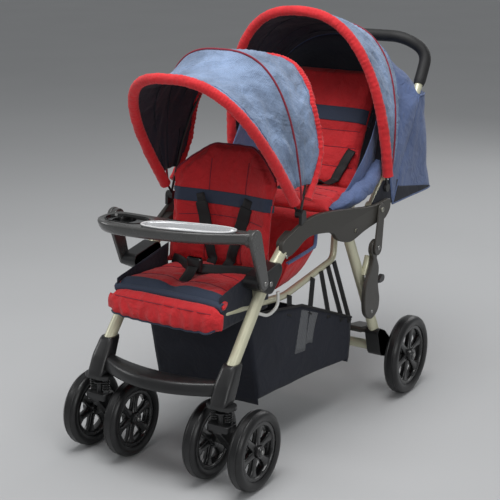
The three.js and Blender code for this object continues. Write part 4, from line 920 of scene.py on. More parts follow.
def build_tray():
    corners = [(0.98, 0.8), (0.78, 0.57), (0.56, 0.38), (0.3, 0.22), (0, 0.1), (-0.3, 0.03), (-0.58, 0), (-0.8, 0.09),
               (-0.93, 0.3), (-0.96, 0.6), (-0.92, 0.88), (-0.82, 0.97), (-0.5, 0.99), (0, 0.99), (0.5, 0.99),
               (0.8, 1), (0.95, 1.03), (1, 0.94)]
    outline = outline_through([(a * 200, -52 + b * 116) for a, b in corners], 8)
    middle = (sum(a for a, b in outline) / len(outline), sum(b for a, b in outline) / len(outline))
    rings = []
    for height, inset in ((565, 14), (566.5, 10), (570, 6.5), (576, 3), (583, 0.8), (588, 0), (591.5, 1.2),
                          (593, 4), (592.8, 7), (591.2, 10)):
        ring = []
        for k, (a, b) in enumerate(outline):
            before, after = outline[k - 1], outline[(k + 1) % len(outline)]
            way = Vector((after[1] - before[1], before[0] - after[0])).normalized()
            if way.x * (a - middle[0]) + way.y * (b - middle[1]) < 0:
                way = -way
            ring.append(at(a - way.x * inset, b - way.y * inset, height))
        rings.append(ring)
    board = piece("tray_board", *loft_mesh(rings), "tray_moulding", "tray", ("tray",), 50)

    def dish_ring(grow, z):
        ring = []
        for k in range(64):
            along = (108 + grow) * blunt(cos(2 * pi * k / 64), 1 / 1.2)
            back = (32 + grow) * blunt(sin(2 * pi * k / 64), 1 / 1.2)
            ring.append(at(52 + along, 14 + 0.24 * along + back, z))
        return ring

    def cup_ring(x, z, width, depth, corner):
        return rounded_ring(x, 12, z, width, depth, corner, 12)

    for rings in ([dish_ring(0.8, 575), dish_ring(0.8, 600)],
                  [cup_ring(-121, z, 118, 69, 34.4) for z in (586, 600)],
                  [cup_ring(-130, z, 64, 64, 31.9) for z in (576.4, 588)]):
        carve(board, linked(bpy.data.objects.new("cutter", clean_mesh("cutter", *loft_mesh(rings), False))))
    round_edges(board, 1.0, 2, 50)
    for name, side in SIDES:
        leg = belt([(*TRAY_PIVOT, 16), (*TRAY_CORNER, 23)], 32)
        plate(f"tray_leg_{name}", leg, side, 195.8, 206.8, "tray_moulding", "tray", (), 3.5)
        plate(f"tray_shoulder_{name}", belt([(*TRAY_CORNER, 21)], 48), side, 184, 200, "tray_moulding", "tray", (), 2)
    # A black gloss sheet lines the cup recess: painted shade, darker than the tray where shade falls in the hollow.
    rings = [cup_ring(*ring) for ring in (
        (-130, 576.6, 60, 60, 29.9), (-130, 586.2, 62, 62, 30.9), (-121, 586.4, 115, 66, 32.9),
        (-121, 592.4, 116, 67, 33.4), (-121, 592.8, 113, 64, 31.9), (-121, 588.2, 110, 61, 30.4),
        (-130, 587.6, 58, 58, 28.9), (-130, 578.4, 55, 55, 27.4))]
    piece("cup_holder_liner", *loft_mesh(rings), "black_gloss", "tray", (), 50)
    bowl = [dish_ring(g, z) for g, z in ((-2, 577), (-0.6, 580), (0, 592), (2.2, 593.6), (3, 594.6), (2.2, 595.6),
                                         (0, 595.8), (-2.6, 594), (-4.5, 586), (-8, 581), (-14, 579.5))]
    piece("silver_dish", *loft_mesh(bowl), "dish", "tray_dish", ("tray_dish",), 50)
    tube("dish_rim", dish_ring(1.6, 596), 0.0019, "rim", "tray_dish", 10, closed=True)


def pad_point(pad, u, w, face=1, relief=0.0, slack=1.0):
    """A point of a pad: u runs across it and w along it, from -1 to 1; face is 1 on the child's side."""
    lean = radians(pad.get("lean", 0))
    along = (cos(lean), sin(lean))
    out = (-along[1], along[0])
    edge = max((1 - abs(u) ** PAD_SQUARE) * (1 - abs(w) ** PAD_SQUARE), 0) ** PAD_EDGE
    x = pad["half"] * u * (1 - PAD_WAIST * (1 - w * w)) * (1 - pad.get("taper", 0) * w)
    brow = 1 - abs(u) ** 2.6
    if "shoulder" in pad:
        brow = 1 - max(0, (abs(u) - pad["shoulder"]) / (1 - pad["shoulder"])) ** 1.55
    rise = pad.get("arch", 0) * brow * ((w + 1) / 2) ** 2
    back = pad.get("hollow", 0) * (1 - u * u)
    s = pad["length"] * (1 + w * (1 - PAD_WAIST * (1 - u * u))) / 2 + rise
    drawn = pad.get("round", (0, 0))
    corner = abs(u) ** 5 * abs(w) ** 2.5
    x *= 1 - drawn[0] * corner
    s -= drawn[1] * corner * w * pad["length"] / 2
    swell = 1 + pad.get("crown", 0.25) * (1 - u * u) * (1 - w * w)
    half = pad["thickness"] / 2
    height = (half * (1 + edge * swell * slack) + relief * edge if face > 0 else half * (1 - edge * slack)) - back
    return at(x, pad["y"] + along[0] * s + out[0] * height, pad["z"] + along[1] * s + out[1] * height)


def on_pad(pad, x, s):
    """A point at a distance along a pad's flat middle."""
    lean = radians(pad.get("lean", 0))
    return at(x, pad["y"] + cos(lean) * s, pad["z"] + sin(lean) * s)


def pad_way(pad):
    """The direction into a pad from the child's side."""
    lean = radians(pad.get("lean", 0))
    return Vector((0, sin(lean), -cos(lean)))


def fill_pad(made, cap_mm, along):
    """Fills a sewn pad: a short cloth simulation under pressure, with each point's travel capped.

    The pressure draws the outline in, so the pad is let out again across and along to the size it was cut to.
    """
    scene = bpy.context.scene
    voxels = made.modifiers.new("voxels", "REMESH")
    voxels.mode, voxels.voxel_size = "VOXEL", sizes().voxel
    graph = bpy.context.evaluated_depsgraph_get()
    mesh = bpy.data.meshes.new_from_object(made.evaluated_get(graph))
    finish = made.data.materials[0]
    made.modifiers.clear()
    made.data = mesh
    mesh.materials.clear()
    mesh.materials.append(finish)
    rest = [v.co.copy() for v in mesh.vertices]
    cloth = made.modifiers.new("filling", "CLOTH")
    cloth.settings.effector_weights.gravity = 0
    for key, value in (("quality", 4), ("use_pressure", True), ("uniform_pressure_force", 4), ("tension_stiffness", 12),
                       ("compression_stiffness", 8), ("bending_stiffness", 0.15)):
        setattr(cloth.settings, key, value)
    cloth.point_cache.frame_start = 1
    cloth.point_cache.frame_end = sizes().fill_steps
    for step in range(1, sizes().fill_steps + 1):
        scene.frame_set(step)
    graph = bpy.context.evaluated_depsgraph_get()
    grown = [v.co.copy() for v in made.evaluated_get(graph).data.vertices]
    made.modifiers.clear()
    scene.frame_set(1)
    for vertex, before, after in zip(mesh.vertices, rest, grown):
        move = after - before
        if move.length > cap_mm / 1000:
            move = move.normalized() * (cap_mm / 1000)
        vertex.co = before + move
    for way in (ACROSS, along):
        old = [p.dot(way) for p in rest]
        new = [v.co.dot(way) for v in mesh.vertices]
        gain = (max(old) - min(old)) / (max(new) - min(new))
        for vertex, reach in zip(mesh.vertices, new):
            vertex.co += way * ((min(old) + (reach - min(new)) * gain) - reach)
    mesh.update()


def press_seams(made, lines, depth_mm, width_mm):
    """Draws the cloth in along the stitched lines and puckers it beside them."""
    dots = [point for line in lines for point in line]
    near = KDTree(len(dots))
    for number, point in enumerate(dots):
        near.insert(point, number)
    near.balance()
    mesh = made.data
    normals = [v.normal.copy() for v in mesh.vertices]
    for vertex, normal in zip(mesh.vertices, normals):
        found, number, distance = near.find(vertex.co)
        if distance > width_mm * SEAM_REACH:
            continue
        pull = exp(-((distance * 1000 / width_mm) ** 2))
        pucker = 0.7 + 0.6 * noise.noise(vertex.co * 90)
        vertex.co -= normal * (depth_mm / 1000 * pull * pucker)
    mesh.update()


def padded(name, pad, body, node_name, seams, cap_mm, relief=None, depth_mm=5):
    """A sewn and filled pad in red. seams are lists of (u, w) along its face, which relief(u, w) lifts."""
    slack = 0.82
    turns = [sin(pi / 2 * t) for t in spread(-1, 1, 56)]
    points = [pad_point(pad, u, w, face, relief(u, w) if relief and face > 0 else 0, slack)
              for face in (1, -1) for w in turns for u in turns]
    faces = quads(57, 57)
    faces += [tuple(i + 57 * 57 for i in face) for face in faces]
    made = piece(name, points, faces, "red_polyester", body, (node_name,), 180)
    lean = radians(pad.get("lean", 0))
    fill_pad(made, cap_mm, Vector((0, cos(lean), sin(lean))))
    tree = surface_of(made)
    lines = [laid(smooth_path([pad_point(pad, u, w, 1, 0, slack) for u, w in seam], 10), tree, pad_way(pad), 0)
             for seam in seams]
    press_seams(made, lines, depth_mm, SEAM_WIDTH)
    for vertex in made.data.vertices:
        ripple = noise.noise(vertex.co * 38) * 0.9 + noise.noise(vertex.co * 85) * 0.5
        vertex.co += vertex.normal * (ripple / 1000)
    made.data.shade_smooth()
    smooth = made.modifiers.new("subdivision", "SUBSURF")
    smooth.levels = smooth.render_levels = 1
    tree = surface_of(made)
    for number, line in enumerate(lines):
        stitch = laid(line[2:-2], tree, pad_way(pad), 0.3)
        tube(f"{name}_stitching_{number}", stitch, 0.0011, "burgundy_piping", body, 8)
    return tree


def band_rows(pad, half, low, high, columns, rows):
    """Rows of points over a pad's face, between two distances along it."""
    return [[on_pad(pad, x, s) for x in spread(-half, half, columns)] for s in spread(low, high, rows)]


def sewn_band(name, rows, tree, way, body):
    cloth_sheet(name, [laid(row, tree, way, 1.5) for row in rows], "slate_band", body, 1.4)


def strap(name, path, width_mm, across, body, thickness_mm=1.8, finish="strap", padding=0):
    """Webbing along a path, its width lying along a direction."""
    grid = []
    for i, point in enumerate(path):
        tangent = (path[min(i + 1, len(path) - 1)] - path[max(i - 1, 0)]).normalized()
        flat = (across - tangent * across.dot(tangent)).normalized()
        grid.append([point + flat * (share * width_mm / 1000) for share in spread(-0.5, 0.5, 4)])
    made = piece(name, [p for row in grid for p in row], quads(len(grid), 5), finish, body, (), 60)
    solidify(made, thickness_mm + padding)
    if padding:
        round_edges(made, (thickness_mm + padding) * 0.45, 3, 30)


def buckle(name, y, z, height):
    rings = [rounded_ring(0, y, z + up, width, depth, 7) for up, width, depth in (
        (0, 34, 8), (3, 40, 13), (height - 4, 44, 14), (height, 38, 9))]
    round_edges(piece(name, *loft_mesh(rings), "black_moulding", "frame"), 1)


def build_front_seat():
    def lobes(u, w):
        part = 9 * exp(-((u / 0.16) ** 2)) * (1 if w < 0.4 else 0.4)
        return 4 * (1 - abs(u) ** 2) - part

    seams = [[(-0.93, -0.42), (-0.5, -0.4), (0, -0.45), (0.5, -0.4), (0.93, -0.42)],
             [(-0.9, 0.25), (-0.5, 0.22), (0, 0.2), (0.5, 0.22), (0.9, 0.25)]]
    tree = padded("front_seat_cushion", FRONT_CUSHION, "frame", "front_cushion", seams, 7, lobes)
    sewn_band("front_cushion_band", band_rows(FRONT_CUSHION, 140, 5, 27, 72, 9), tree, pad_way(FRONT_CUSHION), "frame")
    roll = [pad_point(FRONT_CUSHION, u, -0.96, 1) - Vector((0, -0.002, 0.0095)) for u in spread(-0.94, 0.94, 60)]
    tube("front_cushion_roll", roll, 0.0105, "slate_band", "frame", 20)

    wing = [(x * 0.36, w) for x, w in ((1, -0.9), (1, -0.5), (1, 0), (1, 0.4), (1, 0.85))]
    seams = [wing, [(-u, w) for u, w in wing]]
    seams += [[(-0.9, w), (-0.36, w - 0.05), (0.36, w - 0.05), (0.9, w)] for w in (-0.4, 0.02)]
    tree = padded("front_seat_back", FRONT_BACK, "front_backrest", "front_backrest", seams, 6, depth_mm=4)
    way = pad_way(FRONT_BACK)
    low, high = ((z - FRONT_BACK["z"]) / 0.985 for z in (592, 624))
    sewn_band("front_back_band", band_rows(FRONT_BACK, 143, low, high, 72, 12), tree, way, "front_backrest")
    rim = [pad_point(FRONT_BACK, u, 0.985, 1) for u in spread(-0.97, 0.97, 60)]
    tube("front_back_piping", hugged(rim, tree, 0.8), sizes().piping, "burgundy_piping", "front_backrest", 10)
    for name, side in SIDES:
        line = laid([on_pad(FRONT_BACK, side * between(72, 26, t), between(182, 26, t)) for t in spread(0, 1, 16)],
                    tree, way, 5)
        end = line[-1]
        line += smooth_path([end, end + Vector((-side * 0.006, -0.03, -0.012)), at(side * 9, 116, 474)], 6)[1:]
        strap(f"front_shoulder_strap_{name}", line, 27, ACROSS, "front_backrest")
        strap(f"front_shoulder_pad_{name}", line[2:12], 34, ACROSS, "front_backrest", 4.5, "strap", 2)
        lap = smooth_path(run(side, (128, 200, 450), (88, 172, 457), (44, 136, 462), (14, 114, 466)), 8)
        strap(f"front_lap_strap_{name}", lap, 24, LAP_WAY, "frame")
    crotch = smooth_path(run(1, (0, 28, 432), (0, 50, 440), (0, 80, 452), (0, 104, 470)), 8)
    strap("front_crotch_strap", crotch, 30, ACROSS, "frame")
    buckle("front_buckle", 112, 456, 36)

    def frill(u, w):
        return 4.6 * sin(u * 36 + 3 * noise_at(u * 4, w, 1)) * ((1 - w) / 2) ** 0.8

    tree = padded("calf_flap", CALF_PAD, "calf_rest", "calf_rest", [[(-0.95, 0.5), (0, 0.5), (0.95, 0.5)]], 5, frill,
                  3)
    edge = [pad_point(CALF_PAD, u, -0.93, 1) for u in spread(-0.9, 0.9, 50)]
    tube("calf_piping", hugged(edge, tree, 0.8), sizes().piping, "slate_band", "calf_rest", 10)
    for name, side in SIDES:
        grid = [[at(side * (145 + 3 * sin(pi * share) + 1.5 * noise_at(part * 6, share * 3, side)),
                    between(-2, 206, part), between(366, between(446, 486, part), share))
                 for part in spread(0, 1, 20)] for share in spread(0, 1, 12)]
        cloth_sheet(f"side_panel_{name}", grid, "navy_lining", "frame", 1.6)


def build_rear_seat():
    def roll_radius(share, turn):
        end = min(share, 1 - share) / 0.04
        return 0.019 * min(1, max(end, 0.02)) ** 0.4 * (1 + 0.08 * noise_at(share * 9, cos(turn), sin(turn)))

    def bolster_radius(share, turn):
        lumps = noise_at(share * 9, cos(turn) * 1.3, sin(turn) * 1.3)
        return 0.023 * (sin(pi * min(max(share, 0.03), 0.97)) ** 0.4) * (1 + 0.3 * lumps)

    front = [at(x, 443 + 6 * (x / 165) ** 2, 530) for x in spread(-165, 165, 60)]
    tube("rear_seat_roll", front, roll_radius, "red_polyester", "frame", 26)
    seams = [[(-0.93, w), (0, w - 0.04), (0.93, w)] for w in (-0.35, 0.25)]
    padded("rear_seat_cushion", REAR_CUSHION, "frame", "rear_cushion", seams, 7)
    seams = [[(-0.95, w), (-0.4, w - 0.03), (0.4, w - 0.03), (0.95, w)] for w in (-0.62, -0.3, -0.02)]
    tree = padded("rear_seat_back", REAR_BACK, "rear_backrest", "rear_backrest", seams, 7)
    way = pad_way(REAR_BACK)
    sewn_band("rear_back_band", band_rows(REAR_BACK, 138, 188, 228, 60, 12), tree, way, "rear_backrest")
    for name, side in SIDES:
        line = laid([on_pad(REAR_BACK, side * between(120, 92, t), between(112, 26, t)) for t in spread(0, 1, 16)],
                    tree, way, 4)
        end = line[-1]
        line += smooth_path([end, end + Vector((-side * 0.01, -0.03, -0.006)), at(side * 60, 590, 594)], 6)[1:]
        strap(f"rear_shoulder_strap_{name}", line, 26, ACROSS, "rear_backrest", 2.6)
        lap = smooth_path(run(side, (62, 592, 592), (40, 582, 594), (12, 568, 594)), 8)
        strap(f"rear_lap_strap_{name}", lap, 24, LAP_WAY, "frame")
        path = smooth_path(run(side, (176, 458, 556), (195, 508, 574), (204, 560, 590), (208, 614, 610),
                               (204, 660, 650)), 12)
        tube(f"rear_bolster_{name}", path, bolster_radius, "denim", "frame", 24)
        # A side wall of the same cloth stands behind the bolster, up to the backrest's side
        tops = smooth_path(run(side, (176, 470, 560), (192, 540, 622), (200, 610, 700), (200, 680, 800)), 17)
        feet = smooth_path(run(side, (176, 470, 545), (188, 540, 560), (192, 610, 590), (180, 690, 640)), 17)
        wall = [[foot.lerp(top, row / 14) + ACROSS * (0.003 * side * noise_at(k / 9, row / 6, 4))
                 for k, (foot, top) in enumerate(zip(feet, tops))] for row in range(15)]
        cloth_sheet(f"rear_seat_side_{name}", wall, "denim", "frame", 1.2)
    strap("rear_crotch_strap", smooth_path(run(1, (0, 500, 582), (0, 530, 586), (0, 556, 592)), 8), 30, ACROSS, "frame")
    buckle("rear_buckle", 566, 582, 32)


def build_footwell():
    centre = smooth_path([Vector((0, y, z)) for y, z in (
        (284, 384), (330, 388), (376, 395), (408, 404), (420, 420), (424, 460), (428, 505), (434, 530))], 7)
    grid = []
    for row, spot in enumerate(centre):
        share = row / (len(centre) - 1)
        cells = []
        for u in spread(-1, 1, 40):
            wall = max(0, abs(u) - 0.78) / 0.22
            lift = 74 * wall ** 1.25 * (1 - 0.75 * share ** 2)
            sag = 5 * (1 - min(abs(u) / 0.78, 1) ** 2) * sin(pi * min(share * 1.4, 1))
            rumple = 2.2 * noise_at(u * 5, share * 9, 3)
            cells.append(at(u * 150 * (1 + 0.03 * wall), spot.y, spot.z + lift - sag * 0.3 + rumple))
        grid.append(cells)
    cloth_sheet("footwell_cloth", grid, "red_polyester", "frame", 3, ("rear_footwell",))
    for name, column in (("left", 40), ("right", 0)):
        edge = smooth_path([row[column] for row in grid[::3]], 4)
        tube(f"footwell_piping_{name}", edge, 0.0045, "denim", "frame", 12)


def canopy_point(hoops, share, turn, lift, crease=0.0):
    """A point of a canopy: share runs from its front bow to its rear edge, and turn from side to side."""
    (bow_half, *bow), (hem_half, *hem), middle = hoops["bow"], hoops["hem"], hoops["middle"]
    first, second, part, sag = (bow, middle, share * 2, hoops["sags"][0]) if share < 0.5 else (
        middle, hem, share * 2 - 1, hoops["sags"][1])
    rise, lean = between(first[0], second[0], part), radians(between(first[1], second[1], part))
    dip = sag * abs(sin(2 * pi * share)) * sin(turn)
    across = blunt(cos(turn), 2 / hoops["power"])
    up = abs(sin(turn)) ** (2 / hoops["power"])
    belly = hoops["belly"] * max(0, 2 * share - 1) * sin(pi * min(up / 0.72, 1)) ** 1.5
    half = between(bow_half, hem_half, share) + lift + crease
    reach = rise + lift - dip + crease
    return at(half * across, hoops["pivot"][0] + belly + reach * up * cos(lean),
              hoops["pivot"][1] + reach * up * sin(lean))


def crease_of(share, turn, seed, size_mm):
    """Creases that run between the hoops and die out at them."""
    calm = abs(sin(2 * pi * share)) ** 0.5
    skew = turn + 0.35 * sin(5 * share + seed)
    broad = noise_at(skew * 5.5, share * 3, seed)
    fine = noise_at(skew * 17 - share * 9, share * 7, seed + 7)
    ridges = sum(weight * max(0, 1 - abs(noise_at(skew * rate, share * rate * 0.55, seed + rate)) * 6)
                 for rate, weight in ((6, 0.5), (11, 0.4), (19, 0.25)))
    return size_mm * calm * (0.7 * broad + 0.3 * fine + 0.55 * ridges - 0.15)


def build_canopy(label, hoops, carrier, edge_mm, rear_mm, tail_finish, seed):
    fold = (carrier, f"{label}_canopy_bow", canopy_point(hoops, 0.95, pi / 2, 0), canopy_point(hoops, 0.03, pi / 2, 0))
    turns = [pi * share for share in spread(0.03, 0.97, 96)]
    ends = [pi * share for share in spread(0.012, 0.988, 420)]
    size = sizes().crease * 1000
    pleat = sizes().pleat * 1000

    def line(share, lift, turns, factor=0, less=0):
        return [canopy_point(hoops, share, t, hoops["lift"] + lift, crease_of(share, t, seed, size) * factor - less
                             if factor else 0) for t in turns]

    def ruffled(radius_mm, widen, depth):
        def radius(share, turn):
            wave = abs(sin(pi * share * CANOPY_EDGE_MM / pleat + 0.8 * noise_at(share * 40, 0, seed)))
            lump = noise_at(share * 60, cos(turn) * 1.5, sin(turn) * 1.5 + seed)
            return (radius_mm * (1 + widen * abs(2 * share - 1) ** 3)
                    * (1 - depth * wave * 0.5 + depth * 0.7 * lump)) / 1000
        return radius

    cloth_sheet(f"{label}_canopy_cloth", [line(s, 4.2, turns, 1) for s in spread(0, 1, 44)], "chambray", fold, 1.4,
                (f"{label}_canopy_cover",))
    cloth_sheet(f"{label}_canopy_lining", [line(s, -0.4, turns, 0.8, 1) for s in spread(0, 1, 44)], "navy_lining", fold,
                1.2)
    # The edging is drawn in the paler, painted-light copy of the red.
    edging = tube(f"{label}_canopy_edging", line(0, 0.5, ends), ruffled(edge_mm, 0.12, 0.12), "red_edging", fold, 22)
    tube(f"{label}_canopy_tail", line(1, 2.5, ends), ruffled(rear_mm, 0.1, 0.3), tail_finish, fold, 14)
    tube(f"{label}_canopy_piping", line(0.5, 5.2, ends), sizes().piping * 1.1, "burgundy_piping", fold, 10)
    for number, share in enumerate((0.25, 0.5, 0.75)):
        tube(f"{label}_lining_seam_{number}", line(share, -2.4, turns), 0.0016, "navy_lining", fold, 8)
    for number, share in enumerate((0.06, 0.94)):
        tube(f"{label}_canopy_stitching_{number}", line(share, 4.9, turns, 1), 0.0009, "denim", fold, 8)


def build_canopies():
    build_canopy("front", FRONT_HOOPS, "frame", 12.6, 10.5, "red_edging", 4)
    build_canopy("rear", REAR_HOOPS, "handle", 13, 4, "denim", 11)


def build_boot():
    inside = at(0, 800, 0)

    def inward(point):
        return Vector((-point.x, inside.y - point.y, 0)).normalized()

    x, corner = 230, 46
    outer = []
    for share in spread(0, 1, 26):
        front, back = between(700, 846, share), between(968, 918, share)
        half = [(x, front), (x, between(front, back - corner, 0.5)), (x, back - corner),
                (x - corner * 0.3, back - corner * 0.3), (x - corner, back), (x / 2, back + 10), (0, back + 14)]
        path = smooth_path([at(a, b, between(532, 800, share)) for a, b in half + [(-a, b) for a, b in half[-2::-1]]],
                           7)
        line = []
        for k, point in enumerate(path):
            part = k / (len(path) - 1)
            sag = 4.5 * noise_at(part * 9, share * 2.5, 2) + 2 * noise_at(part * 22, share * 7, 5)
            line.append(point + inward(point) * ((3 + sag) / 1000 * min(1, 4 * share, 4 * (1 - share) + 0.3)))
        outer.append(line)
    cloth_sheet("boot_cloth", outer, "denim", "handle", 2, ("rear_boot",))
    cloth_sheet("boot_lining", [[p + inward(p) * 0.003 for p in row] for row in outer], "navy_lining", "handle", 1)
    left, right = [row[0] for row in outer], [row[-1] for row in outer]
    for label, line in (("low", outer[0]), ("top", outer[-1]), ("left", left), ("right", right)):
        tube(f"boot_binding_{label}", line, 0.0028, "denim", "handle", 10)
    # The sides' lowest part is a black gusset, deep in front and running out at the back corner
    for name, edge in (("left", 0), ("right", len(outer[0]) - 1)):
        count = len(outer[0]) // 5
        gusset = []
        for row in range(9):
            line = []
            for k in range(count + 1):
                column = abs(edge - k)
                reach = 0.17 * (1 - k / count) * row / 8 * 26 + 0.02
                below = outer[int(reach)][column].lerp(outer[int(reach) + 1][column], reach - int(reach))
                line.append(below + Vector((0.0016 if below.x > 0 else -0.0016, 0.0004, -0.0004)))
            gusset.append(line)
        cloth_sheet(f"boot_gusset_{name}", gusset, "basket_cloth", "handle", 0.8)
    for name, side in SIDES:
        flap = [[at(side * (229.8 - 0.8 * sin(pi * t)), between(between(574, 641, s), between(702, 731, s), t),
                    between(between(553, 606, s), between(534, 592, s), t)) for t in spread(0, 1, 12)]
                for s in spread(0, 1, 8)]
        cloth_sheet(f"boot_flap_{name}", flap, "basket_cloth", "handle", 1)
    # A cloth panel closes the gap between the rear canopy's edge and the boot, over the handle's tubes
    rim = smooth_path(left, 2) + outer[-1] + smooth_path(right[::-1], 2)
    runs = [0.0]
    for one, other in zip(rim, rim[1:]):
        runs.append(runs[-1] + (other - one).length)
    grid = []
    for row in range(15):
        share = row / 14
        line = []
        for k in range(97):
            turn = pi * between(0.02, 0.98, k / 96)
            order = next(i for i, reached in enumerate(runs) if reached >= runs[-1] * k / 96 - 1e-9)
            point = canopy_point(REAR_HOOPS, 1, turn, 2.5).lerp(rim[order], share)
            rumple = 5 * noise_at(turn * 6, share * 3, 8) * sin(pi * share)
            # It passes outside the handle's tubes, which run from (600, 539) to (866, 816)
            y, z = point.y * 1000 + AXLE_TO_MIDDLE, point.z * 1000
            off = abs((y - 600) * 277 - (z - 539) * 266) / 384
            near = max(0, min(1, 1.5 - off / 34)) * max(0, min(1, (806 - z) / 24))
            x = point.x
            if abs(x) > 0.15:
                x = copysign(max(abs(x), between(abs(x), 0.2305, near)), x)
            line.append(Vector((x, point.y + 0.001 * rumple, point.z + 0.001 * rumple)))
        grid.append(line)
    cloth_sheet("canopy_tail_cloth", grid, "denim", "handle", 1.4)
    middle = at(0, 700, 700)
    cloth_sheet("canopy_tail_lining", [[p + (middle - p).normalized() * 0.004 for p in row] for row in grid],
                "navy_lining", "handle", 1)
    strap("boot_tab", smooth_path(run(1, (-20, 868, 905), (-8, 885, 922), (0, 893, 933)), 8), 24, ACROSS,
          "handle", 2.4, "red_edging")


def build_basket():
    # Half the width, the rim's (y, z) and the floor's (y, z), at the front, the middle and the rear
    ends = [(150, (114, 372), (165, 124)), (170, (333, 340), (405, 120)), (189, (561, 246), (550, 121))]
    corner = 0.9

    def wall(share, x_of, depth, way=0.0):
        first, second, part = (*ends[:2], share * 2) if share < 0.5 else (*ends[1:], share * 2 - 1)
        high, low = ([between(a, b, part) for a, b in zip(first[k], second[k])] for k in (1, 2))
        return at(x_of(between(first[0], second[0], part)), between(high[0], low[0], depth) + way,
                  between(high[1], low[1], depth))

    def wall_point(share, side, depth, bulge=0.0):
        sway = 3 * sin(pi * depth) * (0.6 + noise_at(share * 5, depth * 3, side)) - 2
        return wall(share, lambda half: side * (half - 1.5 + sway * 0.6 + bulge), depth)

    grid = []
    for share in spread(0, 1, 40):
        line = [wall_point(share, 1, corner * j / 14) for j in range(15)]
        for j in range(1, 30):
            u = between(1, -1, j / 30)
            sag = 5 * (1 - u * u) * sin(pi * share)
            rumple = 1.5 * noise_at(share * 8, u * 5, 1)
            spot = wall(share, lambda half: half * blunt(u, 0.55) * 0.985, corner + (1 - corner) * (1 - abs(u) ** 5))
            line.append(spot + Vector((0, 0, 3 - sag * 0.6 + rumple)) / 1000)
        grid.append(line + [wall_point(share, -1, corner * j / 14) for j in range(14, -1, -1)])
    cloth_sheet("basket_cloth", grid, "basket_cloth", "frame", 2, ("basket",))
    for label, share, way in (("front", 0, -1), ("rear", 1, 1)):
        panel = [[wall(share, lambda half: (half - 1.5) * u * (1 - 0.015 * depth ** 6), depth,
                       way * (5 * (1 - u * u) * sin(pi * depth))) for u in spread(-1, 1, 30)]
                 for depth in (0.985 * row / 14 for row in range(15))]
        cloth_sheet(f"basket_{label}_panel", panel, "basket_cloth", "frame", 1.6)
        tube(f"basket_{label}_binding", panel[0], 0.003, "strap", "frame", 10)
    for name, side in SIDES:
        tube(f"basket_rim_{name}", [wall_point(s, side, 0, 1) for s in spread(0, 1, 40)], 0.0034, "strap", "frame", 10)
        windows = ((0.487, 0.56, 0.35, 0.45, 0.58), (0.573, 0.65, 0.466, 0.535, 0.5))
        for number, (front, back, low_front, low_back, low) in enumerate(windows):
            window = [[wall_point(s, side, between(0.06, low, t), 1.2)
                       for s in spread(between(front, low_front, t), between(back, low_back, t), 8)]
                      for t in spread(0, 1, 8)]
            cloth_sheet(f"basket_window_{name}_{number}", window, "basket_net", "frame", 0.6)
        for number, (share, y, z) in enumerate(((0.36, 300, 372), (0.56, 416, 387), (0.76, 458, 393), (0.9, 494, 397),
                                                (0.985, 526, 402))):
            path = straight(wall_point(share, side, 0.1, 1.6), at(side * 151.5, y, z))
            strap(f"basket_strap_{name}_{number}", smooth_path(path, 6), 20, Vector((0, 1, 0)), "frame", 1.6)
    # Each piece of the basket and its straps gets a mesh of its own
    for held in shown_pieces():
        if held.name.startswith("basket_"):
            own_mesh(held)


def finish_carried_nodes():
    """Gives the nodes that still show their own finish and rounded edges."""
    finishes = {"hub": "black_moulding", "rear_bracket": "black_moulding", "caster_housing": "black_moulding",
                "caster_axle": "rivet", "release_button": "black_moulding", "brake_bar": "grey_moulding",
                "front_canopy_bow": "black_moulding", "front_canopy_hoop": "black_moulding",
                "rear_canopy_bow": "black_moulding"}
    for name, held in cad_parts.items():
        if held.hide_render:
            continue
        finish = next((f for start_of, f in finishes.items() if name.startswith(start_of)), None)
        if finish is None:
            raise RuntimeError(f"{name} shows with no finish")
        held.data.materials.clear()
        held.data.materials.append(material(finish))
        round_edges(held, 0.8, 2)


class STROLLER_OT_stage(bpy.types.Operator):
    """Adds the floor, the lamps and the camera"""

    bl_idname = "stroller.stage"
    bl_label = "Studio"

    def execute(self, context):
        build_stage()
        return {"FINISHED"}


class STROLLER_OT_wheels(bpy.types.Operator):
    """Builds the six tyres and their spoked rims"""

    bl_idname = "stroller.wheels"
    bl_label = "Wheels"

    def execute(self, context):
        build_wheels()
        return {"FINISHED"}


class STROLLER_OT_casters(bpy.types.Operator):
    """Builds the springs, heads and blades of the front casters"""

    bl_idname = "stroller.casters"
    bl_label = "Casters"

    def execute(self, context):
        build_casters()
        return {"FINISHED"}


class STROLLER_OT_footrest(bpy.types.Operator):
    """Builds the footrest bar and the leg sockets"""

    bl_idname = "stroller.footrest"
    bl_label = "Footrest"

    def execute(self, context):
        build_footrest()
        return {"FINISHED"}


class STROLLER_OT_tubes(bpy.types.Operator):
    """Builds the legs, the handle with its foam grip and the seat tubes"""

    bl_idname = "stroller.tubes"
    bl_label = "Tubes"

    def execute(self, context):
        build_tubes()
        return {"FINISHED"}


class STROLLER_OT_mouldings(bpy.types.Operator):
    """Builds the side arms, hubs, brackets and folding braces"""

    bl_idname = "stroller.mouldings"
    bl_label = "Side mouldings"

    def execute(self, context):
        build_mouldings()
        return {"FINISHED"}


class STROLLER_OT_tray(bpy.types.Operator):
    """Builds the child tray and its silver dish"""

    bl_idname = "stroller.tray"
    bl_label = "Tray"

    def execute(self, context):
        build_tray()
        return {"FINISHED"}


class STROLLER_OT_front_seat(bpy.types.Operator):
    """Builds the front cushion, back, calf flap and harness"""

    bl_idname = "stroller.front_seat"
    bl_label = "Front seat"

    def execute(self, context):
        build_front_seat()
        return {"FINISHED"}


class STROLLER_OT_rear_seat(bpy.types.Operator):
    """Builds the rear cushion, back, bolsters and harness"""

    bl_idname = "stroller.rear_seat"
    bl_label = "Rear seat"

    def execute(self, context):
        build_rear_seat()
        return {"FINISHED"}


class STROLLER_OT_footwell(bpy.types.Operator):
    """Builds the cloth well for the rear child's feet"""

    bl_idname = "stroller.footwell"
    bl_label = "Footwell"

    def execute(self, context):
        build_footwell()
        return {"FINISHED"}


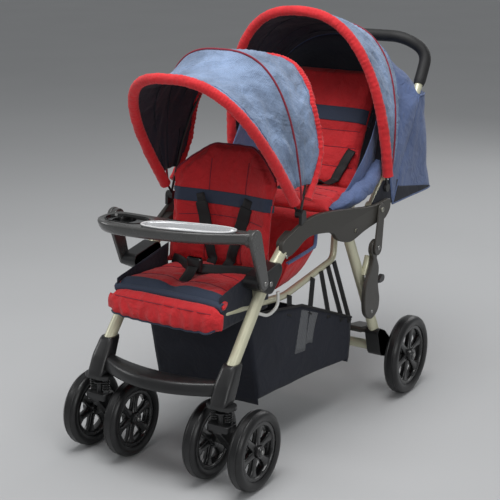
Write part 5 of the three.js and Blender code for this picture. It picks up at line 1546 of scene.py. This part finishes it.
class STROLLER_OT_canopies(bpy.types.Operator):
    """Builds both canopies with their lining and edging"""

    bl_idname = "stroller.canopies"
    bl_label = "Canopies"

    def execute(self, context):
        build_canopies()
        return {"FINISHED"}


class STROLLER_OT_boot(bpy.types.Operator):
    """Builds the cloth boot behind the rear seat"""

    bl_idname = "stroller.boot"
    bl_label = "Boot"

    def execute(self, context):
        build_boot()
        return {"FINISHED"}


class STROLLER_OT_basket(bpy.types.Operator):
    """Builds the basket with its net windows and straps"""

    bl_idname = "stroller.basket"
    bl_label = "Basket"

    def execute(self, context):
        build_basket()
        return {"FINISHED"}


class STROLLER_OT_carried(bpy.types.Operator):
    """Finishes the parts that keep their solid shape"""

    bl_idname = "stroller.carried"
    bl_label = "Carried parts"

    def execute(self, context):
        finish_carried_nodes()
        return {"FINISHED"}


OPERATORS = (
    STROLLER_OT_stage, STROLLER_OT_wheels, STROLLER_OT_casters, STROLLER_OT_footrest, STROLLER_OT_tubes,
    STROLLER_OT_mouldings, STROLLER_OT_tray, STROLLER_OT_front_seat, STROLLER_OT_rear_seat, STROLLER_OT_footwell,
    STROLLER_OT_canopies, STROLLER_OT_boot, STROLLER_OT_basket, STROLLER_OT_carried)


class STROLLER_PT_panel(bpy.types.Panel):
    """Lists the steps that build the stroller."""

    bl_idname = "STROLLER_PT_panel"
    bl_label = "Tandem Stroller"
    bl_space_type = "VIEW_3D"
    bl_region_type = "UI"
    bl_category = "Stroller"

    def draw(self, context):
        for each in OPERATORS:
            self.layout.operator(each.bl_idname)


CLASSES = (StrollerColours, StrollerSizes, *OPERATORS, STROLLER_PT_panel)


def register():
    for each in CLASSES:
        bpy.utils.register_class(each)
    bpy.types.Scene.stroller_colours = PointerProperty(type=StrollerColours)
    bpy.types.Scene.stroller_sizes = PointerProperty(type=StrollerSizes)


def unregister():
    del bpy.types.Scene.stroller_sizes
    del bpy.types.Scene.stroller_colours
    for each in reversed(CLASSES):
        bpy.utils.unregister_class(each)


def main():
    register()
    for each in OPERATORS:
        getattr(bpy.ops.stroller, each.bl_idname.split(".")[1])()
    bpy.context.view_layer.update()


if __name__ == "__main__":
    main()
